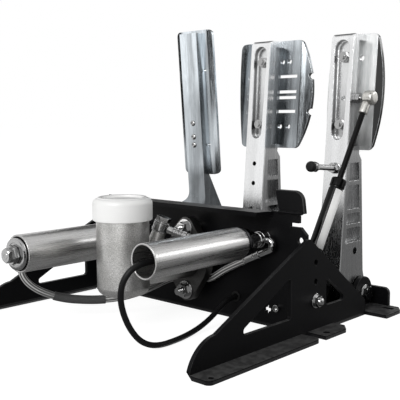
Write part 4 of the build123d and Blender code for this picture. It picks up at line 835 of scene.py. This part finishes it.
class PEDALS_OT_banjo_fittings(bpy.types.Operator):
    """Turn the banjo rings, crimped ferrules and the outlet's hollow bolt"""

    bl_idname = "pedals.banjo_fittings"
    bl_label = "Banjo fittings"

    def execute(self, context):
        fit("outlet_banjo", "turned",
            banjo_ring(OUTLET_TOP + OUTLET_WAY, OUTLET_WAY, OUTLET_RING_R),
            *crimped_neck(OUTLET_CENTRE, OUTLET_NECK, OUTLET_RING_R))
        seal = (4, 8.2, 1, 0.2)
        top = OUTLET_TOP + OUTLET_WAY * (1 + BANJO_THICK)
        head = top + OUTLET_WAY
        collar = [(0, 8), (0.9, 8), (1.2, 7.4)]
        fit("outlet_bolt", "turned",
            washer(OUTLET_TOP, OUTLET_WAY, *seal),
            washer(top, OUTLET_WAY, *seal),
            pin(OUTLET_TOP, OUTLET_WAY, 4.9, BANJO_THICK + 2, 32),
            turned(collar, head, OUTLET_WAY),
            hexagon(head + OUTLET_WAY * 1.2, OUTLET_WAY, 4.3, 13.6, 0.3))
        fit("sensor_banjo", "turned",
            banjo_ring(SENSOR_CENTRE - FORWARD * (BANJO_THICK / 2), FORWARD, SENSOR_RING_R),
            *swept_elbow())
        return {"FINISHED"}


class PEDALS_OT_line_fittings(bpy.types.Operator):
    """Turn the tee, the slave's body and the dark adapters"""

    bl_idname = "pedals.line_fittings"
    bl_label = "Line fittings"

    def execute(self, context):
        panel_hole = PANEL_BACK - 6
        shank = (FORWARD, 4.9, 20, 32)
        barrel = [
            (0, 7.5), (0.6, 8), (4, 8), (4.6, 7.3), (10.4, 7.3), (11, 8), (14.5, 8), (15.1, 7.5),
        ]
        branch = [(4, 4.4), (8.4, 4.4), (8.8, 4.8), (11.6, 4.8), (12.8, 4.3)]
        fit("sensor_tee", "turned",
            turned(barrel, sensor_axis(142.7), FORWARD),
            hexagon(sensor_axis(157.8), FORWARD, 10, 22, 0.2, both=True, chamfer=0.1),
            turned(branch, TEE_CENTRE, TEE_WAY, 32),
            washer(sensor_axis(PANEL_FACE), FORWARD, 5.2, 8.5, 1.6, 0.3),
            pin(sensor_axis(panel_hole), *shank),
            hexagon(sensor_axis(PANEL_BACK), -FORWARD, 6, M10_FLATS, 0.2))
        ring = [
            (0, 13.4), (0.8, 14.2), (3, 14.2), (3.5, 13.6), (4.2, 13.6), (4.8, 14.8), (8, 14.8), (8, 13.9),
            (17, 13.9),
        ]
        fit("sensor_adapter", "turned", turned(ring, sensor_axis(167.8), FORWARD, 56), slot="black_fitting")
        body = [
            (0, 12.2), (0.8, 13), (11, 13), (12, 12.2), (33, 12.2), (34, 13), (35.3, 13),
        ]
        port = [(8, 6), (13.6, 6), (14, 4.9), (16.6, 4.9), (17.8, 4.3)]
        fit("slave_body", "turned",
            turned(body, slave_axis(PANEL_FACE), FORWARD, 56),
            turned(port, SLAVE_CENTRE, SLAVE_WAY, 32),
            pin(slave_axis(panel_hole), *shank),
            hexagon(slave_axis(PANEL_BACK), -FORWARD, 6, M10_FLATS, 0.4))
        collar = [
            (0, 15.6), (1.2, 16.8), (4.6, 16.8), (5, 16.2), (5.6, 16.2), (6, 16.8), (8, 16.8), (17, 16.7),
        ]
        fit("slave_adapter", "turned", turned(collar, slave_axis(168), FORWARD, 64), slot="black_fitting")
        return {"FINISHED"}


# Tubes with their fine rims and end rings
def open_tube(start, outer, bore, length):
    """An open tube with eased rims and a faint ring near each end."""
    half = [
        (0.5, bore), (0, bore + 0.5), (0, outer - 0.5), (0.15, outer - 0.15), (0.5, outer),
        (3.6, outer), (3.75, outer - 0.12), (4.05, outer - 0.12), (4.2, outer),
    ]
    return even_ring(half, length, start, FORWARD, 96)


class PEDALS_OT_steel_tubes(bpy.types.Operator):
    """Turn the two brushed steel tubes and the end parts of the slave's tube"""

    bl_idname = "pedals.steel_tubes"
    bl_label = "Steel tubes"

    def execute(self, context):
        brushed = {"slot": "tube_steel", "sharp": 60}
        fit("sensor_tube", "brushed", open_tube(sensor_axis(175.8), 16, 14, 122.9), **brushed)
        fit("slave_tube", "brushed", open_tube(slave_axis(176), 19, 16.8, 140), **brushed)
        cup = [
            (0, 4.3), (0, 15.4), (0.5, 16), (3, 16), (3.7, 15.6), (4, 14.8), (4, 11.6), (3.6, 11.2),
            (3.6, 4.3),
        ]
        fit("slave_washer", "turned", turned(cup, slave_axis(316.3), FORWARD, 72, ring=True))
        fit("slave_nuts", "cut",
            hexagon(slave_axis(320.4), FORWARD, 4.9, M10_FLATS, 0.35, both=True, chamfer=0.1),
            hexagon(slave_axis(325.4), FORWARD, 5.4, M8_FLATS, 0.1, chamfer=0.14),
            body="slave_shaft", sharp=CUT_SHARP)
        rod = [(0, 3.9), (39.4, 3.9), (40, 3.4), (40, 2), (38.6, 1.6)]
        fit("slave_rod", "turned", turned(rod, slave_axis(291), FORWARD, 32), body="slave_shaft")
        return {"FINISHED"}


# Master cylinder, its cap and studs
class PEDALS_OT_master_cylinder(bpy.types.Operator):
    """Cast the master cylinder with softened edges, its moulded cap, spacers and studs"""

    bl_idname = "pedals.master_cylinder"
    bl_label = "Master cylinder"

    def execute(self, context):
        eased_copy("master_cylinder", "master_casting", "frame", "cast_aluminium", 0.0009, 3)
        cap = [
            (14, 24.3), (0, 24.3), (0, 28.4), (0.5, 29.1), (1.4, 29.3), (7, 29.5), (16.2, 29.5),
            (18.2, 29.2), (19.9, 28.3), (21.1, 26.9), (21.6, 25.3), (21.7, 24.6), (22.4, 24.2), (22.7, 23.7),
            (22.7, 21.4), (22.4, 20.7), (20.9, 20.3), (20.4, 19.8), (20.3, 12), (20.1, 0),
        ]
        fit("reservoir_cap", "moulded", turned(cap, CAP_PLACE, UP, 96), body="cap", slot="cap_plastic")
        for place, height in STUD_HEIGHTS.items():
            fit(f"flange_spacer_{place}", "turned",
                washer((MASTER_X, PANEL_FACE, height), FORWARD, 4.3, 5.5, 12, 0.3, 32))
            fit(f"flange_stud_{place}", "cut",
                *nutted((MASTER_X, FLANGE_FACE, height), FORWARD, (4.2, 10.1, 1.6, 0.3), 6.5, M8_FLATS, 0.25, steps=48),
                *nutted((MASTER_X, PANEL_BACK, height), -FORWARD, (4.2, 8.5, 1.6, 0.2), 5.3, M8_FLATS, 0.4, False),
                pin((MASTER_X, 127, height), FORWARD, 3.95, 30, 32),
                threaded((MASTER_X, 157, height), FORWARD, 11.7, 3.95),
                sharp=CUT_SHARP)
        return {"FINISHED"}


# Pedal arms, pads and throttle
class PEDALS_OT_pedal_arms(bpy.types.Operator):
    """Break the edges of the milled arms, pads and the folded throttle plate"""

    bl_idname = "pedals.pedal_arms"
    bl_label = "Arms and pads"

    def execute(self, context):
        width = sizes().edge_ease
        copies = (
            ("clutch_arm", "milled", "milled_aluminium", None),
            ("brake_arm", "milled", "milled_aluminium", None),
            ("throttle_arm", "milled", "milled_aluminium", "throttle_aluminium"),
            ("clutch_pad", "bowed", "pad_aluminium", "clutch_aluminium"),
            ("brake_pad", "bowed", "pad_aluminium", None),
            ("throttle_plate", "folded", "pad_aluminium", "throttle_aluminium"),
        )
        for node, work, slot, finish in copies:
            eased_copy(node, f"{node}_{work}", node.split("_")[0], slot, width, finish=finish)
        return {"FINISHED"}


class PEDALS_OT_pad_bolts(bpy.types.Operator):
    """Fit the pad bolts with washers, nuts and threads, and the throttle plate's screws"""

    bl_idname = "pedals.pad_bolts"
    bl_label = "Pad bolts"

    def execute(self, context):
        reach = 25 * ARM_WAY.y + 4.5 - ARM_RECESS
        head = [
            (0, 2), (0, 5.6), (0.3, 5.8), (2.8, 3), (reach + 1.6, 3), (reach + 1.6, 0),
            (1.8, 0), (1.8, 2),
        ]
        for pedal in ("clutch", "brake"):
            parts = []
            for height in PAD_BOLT_HEIGHTS:
                floor = arm_front(pedal, height) - ARM_WAY * ARM_RECESS
                parts += [
                    *nutted(floor, ARM_WAY, M6_WASHER, 5, M6_FLATS, 0.5, steps=36),
                    threaded(floor + ARM_WAY * 1.5, ARM_WAY, 6, 3, M6_PITCH),
                    turned(head, floor - ARM_WAY * reach, ARM_WAY, 32, ring=True),
                ]
            fit(f"{pedal}_pad_bolts", "cut", *parts, body=pedal, sharp=CUT_SHARP)
        parts = []
        button = [(0, 3.4), (0.5, 3.5), (1.2, 3), (1.7, 2), (1.8, 1.2), (1.1, 1.1)]
        depth = THROTTLE_PLATE_DEPTH
        for height in THROTTLE_SCREW_HEIGHTS:
            front = PLATE_FACE_Y + THROTTLE_LEAN * (height - PLATE_FACE_Z)
            face = Vector((ARM_X["throttle"], front - depth, height)) + THROTTLE_WAY * depth * THROTTLE_WAY.y
            back = face - THROTTLE_WAY * (depth * THROTTLE_WAY.y + 3.5)
            parts += [
                turned(button, face, THROTTLE_WAY, 28),
                turned(button, back, -THROTTLE_WAY, 28),
                pin(back, THROTTLE_WAY, 1.75, 13.4, 20),
            ]
        fit("throttle_screws", "turned", *parts, body="throttle")
        floor = arm_front("brake", FRONT_BOLT_HEIGHT) - ARM_WAY * 3
        fit("brake_front_bolt", "cut",
            *nutted(floor, ARM_WAY, M6_WASHER, 4, M6_FLATS, 0.25, both=False),
            pin(floor - ARM_WAY * 12, ARM_WAY, 2.95, 13.4, 28),
            body="brake", sharp=CUT_SHARP)
        return {"FINISHED"}


class PEDALS_OT_stop_screw(bpy.types.Operator):
    """Turn the clutch's stop screw with its lock nut, collar and rubber bumper"""

    bl_idname = "pedals.stop_screw"
    bl_label = "Clutch stop screw"

    def execute(self, context):
        face = arm_front("clutch", STOP_SCREW_HEIGHT)
        head = face + ARM_WAY * 36
        collar = [(3.4, 4.2), (3.8, 4.6), (4.8, 4.6), (5, 4.4)]
        fit("clutch_stop_screw", "cut",
            *nutted(face, ARM_WAY, (3, 6, 1.2, 0.2), 5, M6_FLATS, 0.2),
            threaded(face + ARM_WAY * 0.2, ARM_WAY, 36, 3, M6_PITCH),
            hexagon(head, ARM_WAY, 3.6, 9.6, 0.2, both=True),
            turned(collar, head, ARM_WAY, 36),
            body="clutch", sharp=CUT_SHARP)
        bumper = [
            (0, 4.6), (0.4, 5.2), (1.2, 5.6), (3.6, 5.6), (4.8, 5.2), (5.7, 4.3), (6.1, 3), (6.2, 0),
        ]
        shape = turned(bumper, face + ARM_WAY * 42.2, ARM_WAY)
        add_piece(shape, "clutch_bumper_moulded", "clutch", "dark_rubber", "clutch_stop_bumper", 50)
        return {"FINISHED"}


# Gas spring and its ball joints
class PEDALS_OT_gas_spring(bpy.types.Operator):
    """Turn the gas spring's tube with its bare label, its rod, ball sockets and upper stud"""

    bl_idname = "pedals.gas_spring"
    bl_label = "Gas spring"

    def execute(self, context):
        tube = [
            (17, 5.6), (17.5, 6.6), (18.6, 7.3), (20, 7.5), (118, 7.5), (118.4, 7.1), (119, 6.95),
            (120.2, 6.95), (120.8, 7.3), (121, 7.9), (128.6, 7.9), (129.6, 7.4), (130, 6.4), (130, 3.06),
            (124, 3.06),
        ]
        fit("gas_tube", "enamelled", turned(tube, LOWER_BALL, SPRING_WAY, 72), body="gas_cylinder", slot="gloss_black")
        # The label is a thin band wrapped round one side of the tube
        band = bmesh.new()
        edge = [band.verts.new((7.56 * MM, 0, height * MM)) for height in (53, 85, 117.5)]
        line = [band.edges.new(pair) for pair in zip(edge, edge[1:])]
        bmesh.ops.spin(band, geom=edge + line, cent=(0, 0, 0), axis=(0, 0, 1), angle=radians(115), steps=20)
        bmesh.ops.transform(band, matrix=aim(LOWER_BALL, SPRING_WAY, radians(122)), verts=band.verts)
        bmesh.ops.recalc_face_normals(band, faces=band.faces)
        label = add_piece(band, "gas_tube_bare_label", "gas_cylinder", "gloss_black", finish="label_blank")
        wall = label.modifiers.new("wall", "SOLIDIFY")
        wall.thickness = 0.0001
        wall.offset = -1
        fit("gas_rod", "polished", pin(LOWER_BALL, SPRING_WAY, 3, 205.6, low=96),
            body="gas_piston_rod", slot="rod_black")
        cup = [
            (-8.6, 4.8), (-8.2, 6.2), (-7, 7.2), (-5.2, 7.7), (2, 7.7), (2.7, 7.4), (2.7, 6.4), (-7.4, 6.4),
        ]
        neck = [(6.6, 4.7), (9, 4.9), (17.6, 4.9), (18.4, 4.6), (19, 3.9)]
        fit("upper_socket", "nickel",
            turned(cup, UPPER_BALL, SIDE, 56),
            turned(neck, UPPER_BALL, -SPRING_WAY),
            body="gas_piston_rod", slot="socket_nickel", sharp=50)
        face = Vector((BOSS_ENDS["clutch"][0], UPPER_BALL.y, UPPER_BALL.z))
        stem = [(4.8, 2.9), (6, 2.3), (10, 2.3)]
        fit("upper_ball_stud", "turned",
            hexagon(face, -SIDE, 5, M6_FLATS, 0.3),
            turned(stem, face, -SIDE, 28),
            ball(UPPER_BALL, -SIDE),
            body="clutch")
        eased_copy("lower_socket", "lower_socket_nickel", "gas_cylinder", "socket_nickel", 0.0004)
        return {"FINISHED"}


class PEDALS_OT_lower_stud(bpy.types.Operator):
    """Turn the gas spring's lower stud with its washer and dome nut outside the side plate"""

    bl_idname = "pedals.lower_stud"
    bl_label = "Lower ball stud"

    def execute(self, context):
        outer = Vector((SIDE_PLATE_OUTSIDE, LOWER_BALL.y, LOWER_BALL.z))
        inner = Vector((SIDE_PLATE_INSIDE, LOWER_BALL.y, LOWER_BALL.z))
        dome = [(5.4, 4.3), (6.6, 4.1), (7.8, 3.4), (8.6, 2.3), (9, 0)]
        stem = [(-7, 2.95), (6, 2.95), (7, 2.3), (13, 2.3)]
        fit("lower_ball_stud", "turned",
            *nutted(outer, -SIDE, (3.1, 7.2, 1.2, 0.3), 4.4, M6_FLATS, 0.2),
            turned(dome, outer, -SIDE, 32),
            *nutted(inner, SIDE, M6_WASHER, 5, M6_FLATS, 0.1, steps=36),
            turned(stem, inner, SIDE, 28),
            ball(LOWER_BALL, SIDE))
        return {"FINISHED"}


# Frame sheets and the bolts in them
class PEDALS_OT_frame_sheets(bpy.types.Operator):
    """Soften the edges of the painted sheets and lay the weld bead of the stop tab"""

    bl_idname = "pedals.frame_sheets"
    bl_label = "Frame sheets"

    def execute(self, context):
        for node in ("side_plate_clutch", "side_plate_throttle", "cross_panel", "rear_member", "stop_tab"):
            eased_copy(node, f"{node}_coated", "frame", "frame_black", sizes().sheet_ease)
        bead = bmesh.new()
        for ripple in range(13):
            drop = bmesh.new()
            bmesh.ops.create_uvsphere(drop, u_segments=12, v_segments=8, radius=1.9 * MM)
            bmesh.ops.scale(drop, vec=(1, 1.15, 0.75), verts=drop.verts)
            place = at(-146.2 + ripple * 2.2, 134.4 + 0.25 * sin(ripple * 1.7), 118.9)
            bmesh.ops.translate(drop, vec=place, verts=drop.verts)
            join(bead, drop)
        add_piece(bead, "stop_tab_weld_bead", "frame", "frame_black", sharp=60)
        return {"FINISHED"}


class PEDALS_OT_pivot_bolts(bpy.types.Operator):
    """Cut the pivot bolts' heads, washers, nuts and thread ends"""

    bl_idname = "pedals.pivot_bolts"
    bl_label = "Pivot bolts"

    def execute(self, context):
        for pedal, (low, high) in BOSS_ENDS.items():
            thick = M8_WASHER[2]
            start, end = low - BOSS_TO_BRACKET, high + BOSS_TO_BRACKET
            fit(f"{pedal}_pivot_bolt", "cut",
                *nutted(pivot_axis(start), -SIDE, M8_WASHER, 5.3, M8_FLATS, 0.25, False, 48),
                *nutted(pivot_axis(end), SIDE, M8_WASHER, 5.5, M8_FLATS, 0.1, True, 48),
                pin(pivot_axis(start - thick), SIDE, 4, end - start + 3, 36),
                threaded(pivot_axis(end + thick), SIDE, 6.4, 3.9),
                sharp=CUT_SHARP)
        return {"FINISHED"}


class PEDALS_OT_small_trim(bpy.types.Operator):
    """Mould the cable's grommet and cut the panel's socket bolts"""

    bl_idname = "pedals.small_trim"
    bl_label = "Small trim"

    def execute(self, context):
        rim = [
            (0, 2.95), (0, 4.2), (4, 4.2), (4, 5.3), (4.5, 5.7), (5, 5.6), (5.4, 5), (5.4, 3.6),
            (4.9, 2.95),
        ]
        fit("cable_grommet", "moulded", turned(rim, GROMMET, FORWARD, ring=True), slot="dark_rubber", sharp=50)
        head = [(0, 3.9), (3.4, 3.9), (3.9, 3.6), (4, 3.2), (4, 2.4), (3.7, 2.2), (1.4, 2.1)]
        parts = []
        for x in (PANEL_BOLT_X, -PANEL_BOLT_X):
            parts += [
                turned(head, (x, PANEL_FACE, PANEL_BOLT_Z), FORWARD, 36),
                hexagon((x, PANEL_BACK, PANEL_BOLT_Z), -FORWARD, 5, M6_FLATS, 0.2),
                pin((x, PANEL_BACK - 0.1, PANEL_BOLT_Z), FORWARD, 2.9, 4.2, 24),
            ]
        fit("panel_bolts", "cut", *parts)
        return {"FINISHED"}


class PEDALS_OT_remaining_finishes(bpy.types.Operator):
    """Give the solids that stay in view their own finishes"""

    bl_idname = "pedals.remaining_finishes"
    bl_label = "Remaining finishes"

    def execute(self, context):
        plain = {
            "dark_rubber": ("slave_guide",),
            "sleeve_gray": ("hose_sleeve",),
            "bronze": ("clutch_bush", "brake_bush", "throttle_bush"),
            "piston_steel": ("master_piston", "pressure_sensor"),
            "zinc": ("brake_link_pin", "brake_pushrod"),
            "box_plastic": ("junction_box",),
        }
        for slot, names in plain.items():
            for node in names:
                NODES[node].data.materials.clear()
                NODES[node].data.materials.append(finish_for(slot))
        return {"FINISHED"}


# Floor, white surround and soft lamps
def seen_share(tree):
    """One for rays that show the surround: camera, glossy and transmission rays."""
    path = add_node(tree, "ShaderNodeLightPath").outputs
    seen = reckon(tree, "MAXIMUM", path["Is Camera Ray"], path["Is Glossy Ray"])
    return reckon(tree, "MAXIMUM", seen, path["Is Transmission Ray"])


def mixed(tree, share, first, second):
    """Two shaders mixed by a share."""
    return add_node(tree, "ShaderNodeMixShader", {"Fac": share, 1: first.outputs[0], 2: second.outputs[0]})


def facing(place, target):
    """Matrix that puts a lamp or card in its place, turned to a point."""
    way = Vector(target) - Vector(place)
    return Matrix.Translation(place) @ way.to_track_quat("-Z", "Y").to_matrix().to_4x4()


def soft_lamp(name, place, width, height, watts):
    """A rectangular soft lamp aimed at the middle of the set."""
    data = bpy.data.lights.new(name, "AREA")
    data.shape = "RECTANGLE"
    data.size = width
    data.size_y = height
    data.energy = watts
    lamp = bpy.data.objects.new(name, data)
    bpy.context.scene.collection.objects.link(lamp)
    lamp.matrix_world = facing(place, MIDDLE)


def stage_sheet(name, finish, width, height):
    """A flat sheet of the stage, lying level at the origin."""
    shape = bmesh.new()
    bmesh.ops.create_grid(shape, x_segments=1, y_segments=1, size=0.5)
    bmesh.ops.scale(shape, vec=(width, height, 1), verts=shape.verts)
    mesh = bpy.data.meshes.new(name)
    shape.to_mesh(mesh)
    shape.free()
    mesh.materials.append(finish)
    finish.cycles.emission_sampling = "NONE"
    sheet = bpy.data.objects.new(name, mesh)
    bpy.context.scene.collection.objects.link(sheet)
    return sheet


def dark_flag(name, place, target, width, height, glow):
    """A dark card that only reflections see, to give bright metal its contrast."""
    finish, tree = new_finish(f"{name}_cloth")
    show(tree, add_node(tree, "ShaderNodeEmission", {"Strength": glow}))
    card = stage_sheet(name, finish, width, height)
    card.data.transform(facing(place, target))
    card.visible_camera = card.visible_diffuse = card.visible_shadow = False


class PEDALS_OT_studio(bpy.types.Operator):
    """Set up the pale floor, the white surround, the lamps and the flags"""

    bl_idname = "pedals.studio"
    bl_label = "Studio"

    def execute(self, context):
        context.scene.view_settings.view_transform = "Standard"
        finish, tree = new_finish("studio_floor")
        matt = add_node(tree, "ShaderNodeBsdfDiffuse", {"Color": (0.9, 0.9, 0.9, 1)})
        glow = add_node(tree, "ShaderNodeEmission", {"Color": (*WHITE, 1), "Strength": FLOOR_GLOW})
        share = reckon(tree, "MULTIPLY", seen_share(tree), FLOOR_GLOW_SHARE)
        show(tree, mixed(tree, share, matt, glow))
        stage_sheet("studio_floor", finish, FLOOR_WIDTH, FLOOR_WIDTH)
        world = bpy.data.worlds.new("studio_surround")
        context.scene.world = world
        world.cycles.sampling_method = "NONE"
        tree = emptied(world)
        light, seen = (
            add_node(tree, "ShaderNodeBackground", {"Color": (*WHITE, 1), "Strength": strength})
            for strength in (WORLD_LIGHT, 1)
        )
        show(tree, mixed(tree, seen_share(tree), light, seen), "ShaderNodeOutputWorld")
        for lamp in LAMPS:
            soft_lamp(*lamp)
        for card in CARDS:
            dark_flag(*card)
        return {"FINISHED"}


# Sidebar panel
class PEDALS_PT_panel(bpy.types.Panel):
    """The pieces of the pedal set"""

    bl_idname = "PEDALS_PT_panel"
    bl_label = "Racing pedal set"
    bl_space_type = "VIEW_3D"
    bl_region_type = "UI"
    bl_category = "Pedals"

    def draw(self, context):
        for group in (context.scene.pedal_sizes, context.scene.pedal_colours):
            for name in group.__annotations__:
                self.layout.prop(group, name)
        for step in STEPS:
            self.layout.operator(step.bl_idname)


STEPS = (
    PEDALS_OT_camera, PEDALS_OT_sensor_cable, PEDALS_OT_brake_hoses, PEDALS_OT_banjo_fittings,
    PEDALS_OT_line_fittings, PEDALS_OT_steel_tubes, PEDALS_OT_master_cylinder, PEDALS_OT_pedal_arms,
    PEDALS_OT_pad_bolts, PEDALS_OT_stop_screw, PEDALS_OT_gas_spring, PEDALS_OT_lower_stud,
    PEDALS_OT_frame_sheets, PEDALS_OT_pivot_bolts, PEDALS_OT_small_trim, PEDALS_OT_remaining_finishes,
    PEDALS_OT_studio,
)
CLASSES = (PedalSizes, PedalColours, *STEPS, PEDALS_PT_panel)


def register():
    """Register the settings, the operators and the panel."""
    for item in CLASSES:
        bpy.utils.register_class(item)
    bpy.types.Scene.pedal_sizes = PointerProperty(type=PedalSizes)
    bpy.types.Scene.pedal_colours = PointerProperty(type=PedalColours)


def unregister():
    """Remove the settings, the operators and the panel."""
    del bpy.types.Scene.pedal_colours
    del bpy.types.Scene.pedal_sizes
    for item in reversed(CLASSES):
        bpy.utils.unregister_class(item)


def main():
    """Build every piece in order."""
    register()
    bpy.ops.pedals.camera()
    bpy.ops.pedals.sensor_cable()
    bpy.ops.pedals.brake_hoses()
    bpy.ops.pedals.banjo_fittings()
    bpy.ops.pedals.line_fittings()
    bpy.ops.pedals.steel_tubes()
    bpy.ops.pedals.master_cylinder()
    bpy.ops.pedals.pedal_arms()
    bpy.ops.pedals.pad_bolts()
    bpy.ops.pedals.stop_screw()
    bpy.ops.pedals.gas_spring()
    bpy.ops.pedals.lower_stud()
    bpy.ops.pedals.frame_sheets()
    bpy.ops.pedals.pivot_bolts()
    bpy.ops.pedals.small_trim()
    bpy.ops.pedals.remaining_finishes()
    bpy.ops.pedals.studio()
    bpy.context.view_layer.update()


if __name__ == "__main__":
    main()
